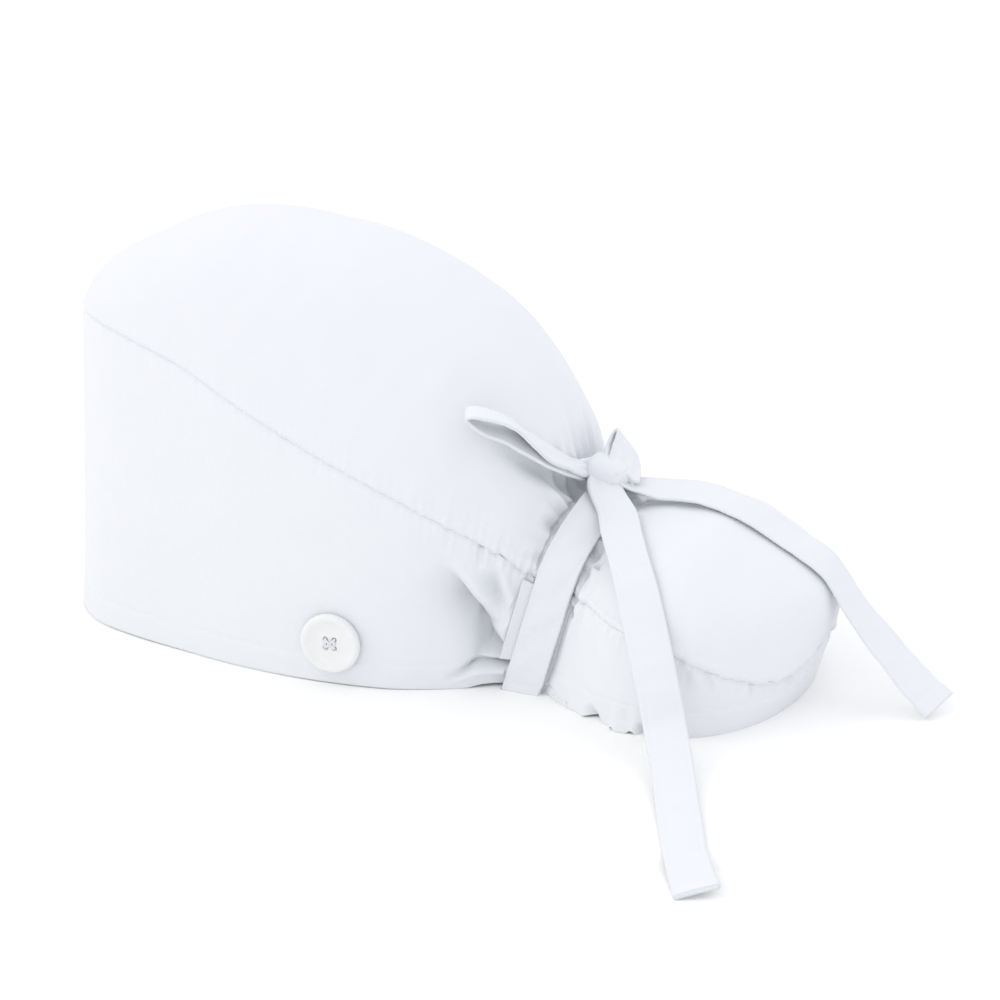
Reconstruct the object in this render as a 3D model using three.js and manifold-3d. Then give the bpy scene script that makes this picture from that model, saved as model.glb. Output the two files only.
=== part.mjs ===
// Ponytail scrub cap standing on its rim: one cloth shell cinched at the neck by a tied bow.
// Millimetres, +Z up. The front of the cap faces -Y, the ponytail pouch points to +Y.
import * as THREE from 'three';
import { mergeVertices } from 'three/addons/utils/BufferGeometryUtils.js';
import Module from 'manifold-3d';

const wasm = await Module();
wasm.setup();

// Cap body: the head part runs from the front to the neck, the pouch lies behind the neck.
const headLength = 194;
const headWidth = 122;
const crownHeight = 158;
const frontHeight = 118;
const neckWidth = 77;
const neckSeamHeight = 46;
const neckRise = 20;
const pouchLength = 96.5;
const pouchWidth = 120;
const pouchSeamHeight = 42;
const pouchRise = 29.5;
const clothThickness = 1.2;
const seamGap = 0.3;

// Ties: flat folded straps that wrap the neck, meet in a bow and end in two free tails.
const strapWidth = 16.2;
const tieWidth = 14.2;
const tieThickness = 1.6;
const tieClearance = 0.3;
const casingThickness = 0.8;
const casingShow = 4;
const knotLength = 15.5;
const knotDepth = 13;
const knotHeight = 10.5;
const leftLoopOpening = 4.2;
const rightLoopOpening = 4.6;
const rightLoopReach = 22;
const rightLoopHeading = 196;
const sideTailReach = 124;
const sideTailHeading = THREE.MathUtils.degToRad(24);
const rearTailDrop = 46;

// Buttons: one on each side, close above the rim.
const buttonDiameter = 23;
const buttonThickness = 3.4;
const buttonDish = 1.1;
const buttonHoleDiameter = 2.1;
const buttonHoleSpacing = 3.4;
const buttonHeight = 17;

const clothMaterial = new THREE.MeshStandardMaterial({ color: 0xf2f3f7, roughness: 0.85, metalness: 0 });
const tieMaterial = new THREE.MeshStandardMaterial({ color: 0xe9ebf2, roughness: 0.82, metalness: 0 });
const buttonMaterial = new THREE.MeshStandardMaterial({ color: 0xe8eae8, roughness: 0.42, metalness: 0 });

// Sections of the head part, front to back, as shares of head length, half width, front height
// and crown height. seam is where the side band meets the top panel, dome is the rise above it,
// lean tips a section backwards as it goes up.
const headSections = [
  { along: 0.000, width: 0.00, seam: 1.000, dome: 0.000, lean: 0.045 },
  { along: 0.008, width: 0.25, seam: 1.008, dome: 0.044, lean: 0.045 },
  { along: 0.036, width: 0.46, seam: 1.025, dome: 0.089, lean: 0.045 },
  { along: 0.103, width: 0.67, seam: 1.025, dome: 0.139, lean: 0.040 },
  { along: 0.206, width: 0.80, seam: 1.000, dome: 0.215, lean: 0.030 },
  { along: 0.330, width: 0.89, seam: 0.949, dome: 0.291, lean: 0.020 },
  { along: 0.464, width: 0.97, seam: 0.856, dome: 0.361, lean: 0.020 },
  { along: 0.608, width: 1.00, seam: 0.746, dome: 0.411, lean: 0.050 },
  { along: 0.753, width: 0.95, seam: 0.627, dome: 0.392, lean: 0.120 },
  { along: 0.840, width: 0.85, seam: 0.538, dome: 0.329, lean: 0.190 },
  { along: 0.897, width: 0.76, seam: 0.479, dome: 0.247, lean: 0.240 },
  { along: 0.930, width: 0.69, seam: 0.441, dome: 0.171, lean: 0.270 },
];

// Sections under the neck strap: aside is the distance from the strap's middle as a share of the
// strap's width; width, seam and dome are shares of the neck's own sizes.
const neckSections = [
  { aside: -0.500, width: 1.013, seam: 1.050, dome: 1.025, lean: 0.290 },
  { aside: 0.000, width: 1.000, seam: 1.000, dome: 1.000, lean: 0.290 },
  { aside: 0.500, width: 1.013, seam: 0.957, dome: 0.990, lean: 0.290 },
];

// Sections of the pouch behind the neck, as shares of the pouch's sizes.
const pouchSections = [
  { along: 0.124, width: 0.700, seam: 0.976, dome: 0.712, lean: 0.280 },
  { along: 0.202, width: 0.792, seam: 0.929, dome: 0.830, lean: 0.260 },
  { along: 0.337, width: 0.917, seam: 0.869, dome: 0.966, lean: 0.230 },
  { along: 0.508, width: 1.000, seam: 0.833, dome: 1.000, lean: 0.220 },
  { along: 0.684, width: 0.967, seam: 0.667, dome: 1.000, lean: 0.230 },
  { along: 0.829, width: 0.817, seam: 0.500, dome: 1.000, lean: 0.260 },
  { along: 0.933, width: 0.550, seam: 0.369, dome: 0.949, lean: 0.300 },
  { along: 0.984, width: 0.267, seam: 0.405, dome: 0.542, lean: 0.320 },
  { along: 1.000, width: 0.000, seam: 0.548, dome: 0.000, lean: 0.320 },
];

const sections = [
  ...headSections.map((s) => ({
    along: s.along * headLength,
    width: s.width * headWidth / 2,
    seam: s.seam * frontHeight,
    dome: s.dome * crownHeight,
    lean: s.lean,
  })),
  ...neckSections.map((s) => ({
    along: headLength + s.aside * strapWidth,
    width: s.width * neckWidth / 2,
    seam: s.seam * neckSeamHeight,
    dome: s.dome * neckRise,
    lean: s.lean,
  })),
  ...pouchSections.map((s) => ({
    along: headLength + s.along * pouchLength,
    width: s.width * pouchWidth / 2,
    seam: s.seam * pouchSeamHeight,
    dome: s.dome * pouchRise,
    lean: s.lean,
  })),
];
const lastRow = sections.length - 1;
const neckRow = headSections.length + 1;
const strapHalfRows = 1;

// A section between two rows of the tables, on a smooth curve through its neighbours. Beyond the
// front and the pouch's end the curve goes on mirrored, so that both ends are round.
function sectionAt(row) {
  const low = Math.min(Math.max(Math.floor(row), 0), lastRow - 1);
  const f = row - low;
  const pick = (index) => {
    if (index < 0) {
      return { ...sections[-index], width: -sections[-index].width, dome: -sections[-index].dome };
    }
    if (index > lastRow) {
      const twin = sections[2 * lastRow - index];
      return { ...twin, width: -twin.width, dome: -twin.dome };
    }
    return sections[index];
  };
  const [a, b, c, d] = [pick(low - 1), pick(low), pick(low + 1), pick(low + 2)];
  const blend = (key) => 0.5 * (2 * b[key] + (c[key] - a[key]) * f
    + (2 * a[key] - 5 * b[key] + 4 * c[key] - d[key]) * f * f
    + (3 * b[key] - a[key] - 3 * c[key] + d[key]) * f * f * f);
  return {
    along: blend('along'),
    width: blend('width'),
    seam: blend('seam'),
    dome: blend('dome'),
    lean: blend('lean'),
  };
}

// A point of the smooth cap: row runs front to back, climb is 0 at the rim, 1 at the seam and 2 at
// the top, side is 1 on one flank and -1 on the other.
function smoothPoint(row, climb, side) {
  if (climb > 2) {
    return smoothPoint(row, 4 - climb, -side);
  }
  if (row < 0) {
    return smoothPoint(-row, climb, -side);
  }
  if (row > lastRow) {
    return smoothPoint(2 * lastRow - row, climb, -side);
  }
  const s = sectionAt(row);
  const turn = Math.max(climb - 1, 0) * Math.PI / 2;
  const height = s.seam * Math.min(climb, 1) + s.dome * Math.sin(turn);
  return new THREE.Vector3(side * s.width * Math.cos(turn), s.along + s.lean * height, height);
}

function outwardNormal(pointAt, row, climb, side) {
  const step = 0.01;
  const alongRow = pointAt(row + step, climb, side).sub(pointAt(row - step, climb, side));
  const alongClimb = pointAt(row, climb + step, side).sub(pointAt(row, climb - step, side));
  return alongRow.cross(alongClimb).multiplyScalar(side).normalize();
}

function bump(value, centre, reach) {
  const distance = Math.min(Math.abs(value - centre) / reach, 1);
  return 0.5 + 0.5 * Math.cos(Math.PI * distance);
}

// Gathers that run into the tied neck: each row is one zone of the top panel, with the fold depth,
// the number of folds across the panel, where along the cap they are deepest and how far they reach.
const gatherZones = [
  { depth: 2.4, folds: 5.5, phase: 0.4, row: 10.3, ahead: 3.2, behind: 1.6 },
  { depth: 1.6, folds: 5.5, phase: 0.1, row: 15.2, ahead: 1.1, behind: 2.6 },
];

// Single folds of the side band and the top panel near the neck: a straight line from one place on
// the cap to another, its depth outward, and its reach to each side in climb.
const singleFolds = [
  { row: 8.4, climb: 0.80, toRow: 11.3, toClimb: 0.34, depth: 2.6, reach: 0.16, side: 0 },
  { row: 8.2, climb: 0.52, toRow: 11.3, toClimb: 0.16, depth: -3.4, reach: 0.20, side: 0 },
  { row: 9.2, climb: 1.30, toRow: 11.4, toClimb: 1.42, depth: -2.0, reach: 0.10, side: 1 },
];

// Pleats of the side band where it is eased onto the pouch's round end, and the scallops of its
// elastic hem between the neck and the pouch.
const pleatDepth = 0.9;
const pleatsPerRow = 0.5;
const pleatRows = { middle: 20, reach: 3.6 };
const scallopLift = 2.2;
const scallopRows = { from: 14.2, to: 18.2, waves: 3 };

function foldDepth(row, climb, side) {
  let depth = 0;
  if (climb > 1) {
    const across = side > 0 ? climb - 1 : 3 - climb;
    for (const zone of gatherZones) {
      const reach = row < zone.row ? zone.ahead : zone.behind;
      const wave = Math.cos(Math.PI * zone.folds * across + Math.PI * zone.phase);
      depth += zone.depth * bump(row, zone.row, reach) * wave * Math.min((climb - 1) * 4, 1);
    }
  } else {
    const wave = Math.sin(2 * Math.PI * pleatsPerRow * row);
    depth += pleatDepth * bump(row, pleatRows.middle, pleatRows.reach) * wave * Math.sin(Math.PI * climb);
  }
  for (const fold of singleFolds) {
    const share = (row - fold.row) / (fold.toRow - fold.row);
    if (share > 0 && share < 1 && (fold.side === 0 || fold.side === side)) {
      const middle = THREE.MathUtils.lerp(fold.climb, fold.toClimb, share);
      depth += fold.depth * Math.sin(Math.PI * share) * bump(climb, middle, fold.reach);
    }
  }
  return depth;
}

// The smooth cap with its folds, gathers, pleats and scallops pushed in or out.
function foldedPoint(row, climb, side) {
  if (climb > 2) {
    return foldedPoint(row, 4 - climb, -side);
  }
  if (row < 0) {
    return foldedPoint(-row, climb, -side);
  }
  if (row > lastRow) {
    return foldedPoint(2 * lastRow - row, climb, -side);
  }
  const point = smoothPoint(row, climb, side);
  const normal = outwardNormal(smoothPoint, row, climb, side);
  normal.z *= Math.min(climb * 4, 1);
  point.addScaledVector(normal, foldDepth(row, climb, side));
  const place = (row - scallopRows.from) / (scallopRows.to - scallopRows.from);
  if (place > 0 && place < 1 && climb < 1) {
    point.z += scallopLift * Math.sin(Math.PI * scallopRows.waves * place) ** 2 * (1 - climb) ** 3;
  }
  return point;
}

// A point at a set distance outside the cloth, or inside it where the distance is negative. At the
// rim the distance is level, so that nothing reaches below the rim.
function offsetPoint(row, climb, side, distance) {
  const normal = outwardNormal(foldedPoint, row, climb, side);
  normal.z *= Math.min(climb * 4, 1);
  return foldedPoint(row, climb, side).addScaledVector(normal.normalize(), distance);
}

function steps(from, to, count) {
  return Array.from({ length: count + 1 }, (_, i) => from + (to - from) * i / count);
}

function namedMesh(name, geometry, material) {
  const mesh = new THREE.Mesh(geometry, material);
  mesh.name = name;
  return mesh;
}

// A closed body from an outer and an inner grid of points with the same rows and columns. In a
// ring the last row joins the first one, and only the long edges are closed by walls.
function shellMesh(name, outer, inner, material, ring = false) {
  const rows = outer.length;
  const columns = outer[0].length;
  const outerIndex = (i, j) => (i % rows) * columns + j;
  const innerIndex = (i, j) => rows * columns + outerIndex(i, j);
  const triangles = [];
  const quad = (a, b, c, d) => triangles.push(a, b, c, a, c, d);
  const last = columns - 1;
  for (let i = 0; i < (ring ? rows : rows - 1); i += 1) {
    for (let j = 0; j < last; j += 1) {
      quad(outerIndex(i, j), outerIndex(i + 1, j), outerIndex(i + 1, j + 1), outerIndex(i, j + 1));
      quad(innerIndex(i, j), innerIndex(i, j + 1), innerIndex(i + 1, j + 1), innerIndex(i + 1, j));
    }
    quad(innerIndex(i, 0), innerIndex(i + 1, 0), outerIndex(i + 1, 0), outerIndex(i, 0));
    quad(outerIndex(i, last), outerIndex(i + 1, last), innerIndex(i + 1, last), innerIndex(i, last));
  }
  if (!ring) {
    const end = rows - 1;
    for (let j = 0; j < last; j += 1) {
      quad(outerIndex(0, j), outerIndex(0, j + 1), innerIndex(0, j + 1), innerIndex(0, j));
      quad(innerIndex(end, j), innerIndex(end, j + 1), outerIndex(end, j + 1), outerIndex(end, j));
    }
  }
  const positions = [...outer.flat(), ...inner.flat()].flatMap((p) => [p.x, p.y, p.z]);
  const geometry = new THREE.BufferGeometry();
  geometry.setAttribute('position', new THREE.Float32BufferAttribute(positions, 3));
  geometry.setIndex(triangles);
  return namedMesh(name, geometry, material);
}

// The long side band: one ring of cloth from the rim up to the seam, round the head and the pouch.
function sideBand() {
  const flank = [...steps(0, 14, 28), ...steps(14, lastRow, 21).slice(1)];
  const round = [
    ...flank.map((row) => ({ row, side: 1 })),
    ...flank.slice(1, -1).reverse().map((row) => ({ row, side: -1 })),
  ];
  const grid = (distance) => round.map(({ row, side }) => {
    const top = 1 - seamGap / 2 / sectionAt(row).seam;
    return steps(0, top, 6).map((climb) => offsetPoint(row, climb, side, distance));
  });
  return shellMesh('side_band', grid(0), grid(-clothThickness), clothMaterial, true);
}

// The top panel is one long piece, wide over the crown, narrow at the neck and wide over the pouch.
// It is held here as its crown part and its pouch part, which meet in the middle of the neck, under
// the strap.
const panelFrontInset = 0.12;
const panelRearInset = 0.2;
const neckJoint = seamGap / strapWidth;

function panelPart(name, rows) {
  const grid = (distance) => rows.map((row) => {
    const s = sectionAt(row);
    const quarterLength = Math.PI / 2 * Math.hypot(s.width, s.dome) / Math.SQRT2;
    const reach = 1 - seamGap / quarterLength;
    return steps(-reach, reach, 26).map((place) => (
      offsetPoint(row, 2 - Math.abs(place), place < 0 ? 1 : -1, distance)));
  });
  return shellMesh(name, grid(0), grid(-clothThickness), clothMaterial);
}

function crownPart() {
  const rows = [...steps(panelFrontInset, 8, 14), ...steps(8, neckRow - neckJoint, 12).slice(1)];
  return panelPart('top_panel_crown', rows);
}

function pouchPart() {
  const rows = [
    ...steps(neckRow + neckJoint, 17, 10),
    ...steps(17, lastRow - panelRearInset, 11).slice(1),
  ];
  return panelPart('top_panel_pouch', rows);
}

// A strap or strip that lies on the cap's cloth along the given rows and climbs.
function patchMesh(name, rowList, climbs, side, lift, thickness) {
  const rows = side > 0 ? rowList : [...rowList].reverse();
  const grid = (distance) => rows.map((row) => (
    climbs.map((climb) => offsetPoint(row, climb, side, distance))));
  return shellMesh(name, grid(lift + thickness), grid(lift), tieMaterial);
}

const strapLift = tieClearance + casingThickness + tieClearance;
const strapClimbs = steps(0, 1.9, 16);

// The casing strip covers the joint of the side band beside the strap, and runs in under it.
function casingStrip(name, side) {
  const front = neckRow - strapHalfRows * (1 + casingShow / (strapWidth / 2));
  const rows = [front, neckRow - strapHalfRows, neckRow];
  return patchMesh(name, rows, strapClimbs.slice(2, 9), side, tieClearance, casingThickness);
}

function neckStrap(name, side) {
  const rows = [neckRow - strapHalfRows, neckRow, neckRow + strapHalfRows];
  return patchMesh(name, rows, strapClimbs, side, strapLift, tieThickness);
}

// A flat ribbon along a smooth line through its stations. facing is the direction of the ribbon's
// width, scale narrows it where it is pinched.
function ribbonMesh(name, stations, count) {
  const curve = new THREE.CatmullRomCurve3(stations.map((s) => s.point), false, 'centripetal');
  const lengths = curve.getLengths(400);
  const total = lengths[400];
  const grid = (distance) => steps(0, 1, count).map((share) => {
    const t = curve.getUtoTmapping(share);
    const place = t * (stations.length - 1);
    const low = Math.min(Math.floor(place), stations.length - 2);
    const f = place - low;
    const [from, to] = [stations[low], stations[low + 1]];
    const point = curve.getPoint(t);
    const tangent = curve.getTangent(t);
    const facing = from.facing.clone().lerp(to.facing, f);
    facing.addScaledVector(tangent, -facing.dot(tangent)).normalize();
    const normal = tangent.clone().cross(facing);
    const half = THREE.MathUtils.lerp(from.scale, to.scale, f) * tieWidth / 2;
    point.z = Math.max(point.z, tieThickness / 2);
    return [-half, half].map((aside) => (
      point.clone().addScaledVector(facing, aside).addScaledVector(normal, distance)));
  });
  const mesh = shellMesh(name, grid(tieThickness / 2), grid(-tieThickness / 2), tieMaterial);
  mesh.userData.length = total;
  return mesh;
}

const neckTop = smoothPoint(neckRow, 2, 1);
const knotCentre = neckTop.clone().add(
  new THREE.Vector3(0, 0.1 * knotLength, strapLift + tieThickness + tieClearance + knotHeight / 2),
);
const knotTilt = -Math.atan(sections[neckRow].lean);

// The knot: a wrap of the tie pulled tight, wider than high, with flattened faces.
function knot() {
  const geometry = new THREE.SphereGeometry(1, 18, 10);
  const position = geometry.getAttribute('position');
  const squared = (value) => Math.sign(value) * Math.abs(value) ** 0.8;
  for (let i = 0; i < position.count; i += 1) {
    const x = squared(position.getX(i)) * knotDepth / 2;
    const y = squared(position.getY(i)) * knotLength / 2;
    const z = squared(position.getZ(i)) * knotHeight / 2;
    position.setXYZ(i, x, y, z);
  }
  geometry.deleteAttribute('normal');
  geometry.deleteAttribute('uv');
  const mesh = namedMesh('knot', mergeVertices(geometry, 0.001), tieMaterial);
  mesh.rotation.x = knotTilt;
  mesh.position.copy(knotCentre);
  return mesh;
}

function direction(azimuth, elevation) {
  const a = THREE.MathUtils.degToRad(azimuth);
  const e = THREE.MathUtils.degToRad(elevation);
  return new THREE.Vector3(Math.cos(a) * Math.cos(e), Math.sin(a) * Math.cos(e), Math.sin(e));
}

// A bow loop: its middle line runs from the knot to the tip over the cap's cloth, and the ribbon
// goes out above that line and comes back below it.
function bowLoop(name, middle, facing, opening, profile) {
  const curve = new THREE.CatmullRomCurve3(middle, false, 'centripetal');
  const strand = (row, sign) => {
    const t = row.reach;
    const tangent = curve.getTangentAt(t);
    const across = facing.clone().addScaledVector(tangent, -facing.dot(tangent)).normalize();
    const open = tangent.clone().cross(across);
    const point = curve.getPointAt(t).addScaledVector(open, sign * row.open * opening);
    return { point, facing: across, scale: row.scale };
  };
  const out = profile.map((row) => strand(row, 1));
  const back = profile.slice(0, -1).reverse().map((row) => strand(row, -1));
  return ribbonMesh(name, [...out, ...back], 36);
}

const leftLoopProfile = [
  { reach: 0.00, open: 0.32, scale: 0.50 },
  { reach: 0.15, open: 0.36, scale: 0.62 },
  { reach: 0.35, open: 0.62, scale: 0.90 },
  { reach: 0.60, open: 0.95, scale: 1.00 },
  { reach: 0.82, open: 0.90, scale: 1.00 },
  { reach: 0.95, open: 0.62, scale: 1.00 },
  { reach: 1.00, open: 0.00, scale: 1.00 },
];
const rightLoopProfile = [
  { reach: 0.00, open: 0.45, scale: 0.55 },
  { reach: 0.30, open: 0.70, scale: 0.85 },
  { reach: 0.65, open: 1.00, scale: 1.00 },
  { reach: 0.92, open: 0.75, scale: 1.00 },
  { reach: 1.00, open: 0.00, scale: 1.00 },
];

// Places beside the cap's cloth: row, climb and the distance outside it as a share of tie width.
function places(side, table) {
  return table.map((p) => offsetPoint(p.row, p.climb, side, p.out * tieWidth));
}

const leftLoopMiddle = [
  knotCentre.clone().add(new THREE.Vector3(0.57 * knotDepth, -0.44 * knotLength, 0.30 * knotHeight)),
  ...places(1, [
    { row: 11.5, climb: 1.74, out: 0.60 },
    { row: 10.8, climb: 1.66, out: 0.62 },
    { row: 10.0, climb: 1.60, out: 0.66 },
    { row: 9.3, climb: 1.53, out: 0.66 },
    { row: 8.6, climb: 1.49, out: 0.66 },
  ]),
];
// The far loop stands on edge behind the knot, seen along its length.
const rightLoopMiddle = [
  { reach: 0.36, up: 0.34 },
  { reach: 0.55, up: 0.42 },
  { reach: 0.78, up: 0.40 },
  { reach: 1.00, up: 0.34 },
].map(({ reach, up }) => knotCentre.clone()
  .addScaledVector(direction(rightLoopHeading, 0), reach * rightLoopReach)
  .add(new THREE.Vector3(0, 0, up * knotHeight)));

// The tail on the near side: it falls from under the knot over the pouch's flank, leaves the cloth
// above the rim and comes down to the surface in a long slope, where its end lies flat.
function sideTail() {
  const onCloth = [
    { row: 14.0, climb: 1.79, out: 0.50 },
    { row: 15.0, climb: 1.72, out: 0.48 },
    { row: 16.2, climb: 1.58, out: 0.42 },
    { row: 17.3, climb: 1.34, out: 0.36 },
    { row: 18.0, climb: 1.06, out: 0.34 },
  ];
  // Places beyond the foot of the cap: away along the tail's heading, aside to its left, and the
  // height of its middle, all as shares of its reach over the surface.
  const beyond = [
    { away: 0.106, aside: -0.037, height: 0.205 },
    { away: 0.170, aside: -0.020, height: 0.112 },
    { away: 0.310, aside: -0.009, height: 0.046 },
    { away: 0.460, aside: -0.008, height: 0.020 },
    { away: 0.640, aside: -0.010, height: 0.000 },
    { away: 0.820, aside: -0.007, height: 0.000 },
    { away: 1.000, aside: 0.000, height: 0.000 },
  ];
  const heading = new THREE.Vector3(Math.cos(sideTailHeading), Math.sin(sideTailHeading), 0);
  const left = new THREE.Vector3(-heading.y, heading.x, 0);
  const foot = smoothPoint(18.8, 0, 1);
  const root = new THREE.Vector3(0.78 * knotDepth, 0.20 * knotLength, -0.40 * knotHeight);
  const stations = [
    { point: knotCentre.clone().add(root), facing: direction(90, -16), scale: 0.8 },
    ...places(1, onCloth).map((point) => ({ point, facing: direction(100, -10), scale: 1 })),
    ...beyond.map(({ away, aside, height }) => ({
      point: foot.clone()
        .addScaledVector(heading, away * sideTailReach)
        .addScaledVector(left, aside * sideTailReach)
        .setZ(height * sideTailReach),
      facing: left,
      scale: 1,
    })),
  ];
  return ribbonMesh('tail_side', stations, 34);
}

// The tail to the rear: it leaves the knot level, passes over the top of the pouch and slopes down
// behind it to the surface, tipped a little to the near side.
function rearTail() {
  const facing = new THREE.Vector3(1, 0, -0.18);
  const endFacing = new THREE.Vector3(1, -0.3, -0.55);
  const stations = [{
    point: knotCentre.clone().add(new THREE.Vector3(0, 0.62 * knotLength, -0.05 * knotHeight)),
    facing,
    scale: 0.8,
  }];
  for (const p of [
    { row: 15.4, out: 0.42 },
    { row: 16.3, out: 0.34 },
    { row: 17.4, out: 0.28 },
    { row: 18.4, out: 0.20 },
    { row: 19.4, out: 0.18 },
    { row: 20.6, out: 0.22 },
  ]) {
    const point = offsetPoint(p.row, 1.95, -1, p.out * tieWidth);
    stations.push({ point, facing, scale: 1 });
  }
  const brink = stations[stations.length - 1].point;
  for (const p of [
    { back: 0.26, height: 0.70, turn: 0.2 },
    { back: 0.56, height: 0.42, turn: 0.5 },
    { back: 0.80, height: 0.22, turn: 0.8 },
    { back: 1.00, height: 0.074, turn: 1.0 },
  ]) {
    const point = brink.clone();
    point.y += p.back * rearTailDrop;
    point.x += 8 * p.turn;
    point.z *= p.height;
    stations.push({ point, facing: facing.clone().lerp(endFacing, p.turn), scale: 1 });
  }
  return ribbonMesh('tail_rear', stations, 28);
}

function toSolid(geometry) {
  const bare = geometry.clone();
  bare.deleteAttribute('normal');
  bare.deleteAttribute('uv');
  const merged = mergeVertices(bare, 0.0001);
  return new wasm.Manifold(new wasm.Mesh({
    numProp: 3,
    vertProperties: new Float32Array(merged.getAttribute('position').array),
    triVerts: new Uint32Array(merged.getIndex().array),
  }));
}

function toGeometry(solid) {
  const mesh = solid.getMesh();
  const geometry = new THREE.BufferGeometry();
  geometry.setAttribute('position', new THREE.BufferAttribute(new Float32Array(mesh.vertProperties), 3));
  geometry.setIndex(new THREE.BufferAttribute(new Uint32Array(mesh.triVerts), 1));
  return geometry;
}

// A round four-hole button with a raised rim and a dished middle, its axis along +Z.
function buttonGeometry() {
  const radius = buttonDiameter / 2;
  const holeRadius = buttonHoleDiameter / 2;
  const profile = [
    [0, 0],
    [radius - 1.2, 0],
    [radius - 0.3, 0.5],
    [radius, 1.4],
    [radius - 0.2, buttonThickness - 0.7],
    [radius - 1.0, buttonThickness],
    [radius - 2.2, buttonThickness - 0.1],
    [radius * 0.62, buttonThickness - buttonDish * 0.8],
    [radius * 0.42, buttonThickness - buttonDish],
    [0, buttonThickness - buttonDish],
  ].map(([x, y]) => new THREE.Vector2(x, y));
  const disc = new THREE.LatheGeometry(profile, 24).rotateX(Math.PI / 2);
  let solid = toSolid(disc);
  for (const x of [-1, 1]) {
    for (const y of [-1, 1]) {
      const hole = new THREE.CylinderGeometry(holeRadius, holeRadius, 4 * buttonThickness, 8)
        .rotateX(Math.PI / 2)
        .translate(x * buttonHoleSpacing / 2, y * buttonHoleSpacing / 2, 0);
      solid = solid.subtract(toSolid(hole));
    }
  }
  return toGeometry(solid);
}

function button(name, side) {
  const row = 7.28;
  const climb = buttonHeight / sectionAt(row).seam;
  const normal = outwardNormal(smoothPoint, row, climb, side);
  const mesh = namedMesh(name, buttonGeometry(), buttonMaterial);
  mesh.quaternion.setFromUnitVectors(new THREE.Vector3(0, 0, 1), normal);
  mesh.position.copy(offsetPoint(row, climb, side, tieClearance));
  return mesh;
}

const cap = new THREE.Group();
cap.add(
  crownPart(),
  pouchPart(),
  sideBand(),
  casingStrip('casing_near', 1),
  casingStrip('casing_far', -1),
  neckStrap('strap_near', 1),
  neckStrap('strap_far', -1),
  knot(),
  bowLoop('bow_loop_left', leftLoopMiddle, direction(51, 5), leftLoopOpening, leftLoopProfile),
  bowLoop('bow_loop_right', rightLoopMiddle, direction(106, 74), rightLoopOpening, rightLoopProfile),
  sideTail(),
  rearTail(),
  button('button_near', 1),
  button('button_far', -1),
);

// The origin is on the surface the cap stands on, under the middle of its outline.
const box = new THREE.Box3().setFromObject(cap);
cap.position.set(-(box.min.x + box.max.x) / 2, -(box.min.y + box.max.y) / 2, -box.min.z);

export default cap;
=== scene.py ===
import math

import bpy
import numpy as np
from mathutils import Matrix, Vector


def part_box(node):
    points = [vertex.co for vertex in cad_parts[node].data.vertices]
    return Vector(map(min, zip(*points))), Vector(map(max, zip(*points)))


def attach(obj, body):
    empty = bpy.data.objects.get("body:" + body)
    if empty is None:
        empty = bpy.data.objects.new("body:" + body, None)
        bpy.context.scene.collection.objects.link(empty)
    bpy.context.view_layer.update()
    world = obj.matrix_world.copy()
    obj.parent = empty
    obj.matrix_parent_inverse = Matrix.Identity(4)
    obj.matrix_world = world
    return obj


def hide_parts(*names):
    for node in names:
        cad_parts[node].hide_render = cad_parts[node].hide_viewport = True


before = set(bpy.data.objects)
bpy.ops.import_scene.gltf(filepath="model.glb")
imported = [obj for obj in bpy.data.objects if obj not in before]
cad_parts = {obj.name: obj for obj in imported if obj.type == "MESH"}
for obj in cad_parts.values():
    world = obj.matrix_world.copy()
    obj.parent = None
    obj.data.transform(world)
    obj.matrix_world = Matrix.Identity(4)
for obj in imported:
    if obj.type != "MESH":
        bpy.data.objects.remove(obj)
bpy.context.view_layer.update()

# Side band: one long strip of white poly-cotton round the head part and the pouch. Its lower edge
# is a turned hem, drawn in by elastic behind the neck, and its upper edge is sewn to the top panel.

# Sections from the front to the end of the pouch, in millimetres: place along the cap, half
# width, height of the seam, rise of the top panel above the seam, and backward lean.
CAP_SECTIONS = np.array([
    (0.0, 0.0, 118.0, 0.0, 0.045),
    (1.6, 15.3, 118.9, 7.0, 0.045),
    (7.0, 28.1, 121.0, 14.1, 0.045),
    (20.0, 40.9, 121.0, 22.0, 0.040),
    (40.0, 48.8, 118.0, 34.0, 0.030),
    (64.0, 54.3, 112.0, 46.0, 0.020),
    (90.0, 59.2, 101.0, 57.0, 0.020),
    (118.0, 61.0, 88.0, 64.9, 0.050),
    (146.1, 58.0, 74.0, 61.9, 0.120),
    (163.0, 51.9, 63.5, 52.0, 0.190),
    (174.0, 46.4, 56.5, 39.0, 0.240),
    (180.4, 42.1, 52.0, 27.0, 0.270),
    (185.9, 39.0, 48.3, 20.5, 0.290),
    (194.0, 38.5, 46.0, 20.0, 0.290),
    (202.1, 39.0, 44.0, 19.8, 0.290),
    (206.0, 42.0, 41.0, 21.0, 0.280),
    (213.5, 47.5, 39.0, 24.5, 0.260),
    (226.5, 55.0, 36.5, 28.5, 0.230),
    (243.0, 60.0, 35.0, 29.5, 0.220),
    (260.0, 58.0, 28.0, 29.5, 0.230),
    (274.0, 49.0, 21.0, 29.5, 0.260),
    (284.0, 33.0, 15.5, 28.0, 0.300),
    (289.0, 16.0, 17.0, 16.0, 0.320),
    (290.5, 0.0, 23.0, 0.0, 0.320),
])
LAST_ROW = len(CAP_SECTIONS) - 1
NECK_ROW = 13
MIRRORED = np.array([1, -1, 1, -1, 1])
PADDED_SECTIONS = np.vstack([
    CAP_SECTIONS[1] * MIRRORED, CAP_SECTIONS, CAP_SECTIONS[-2] * MIRRORED])


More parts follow.
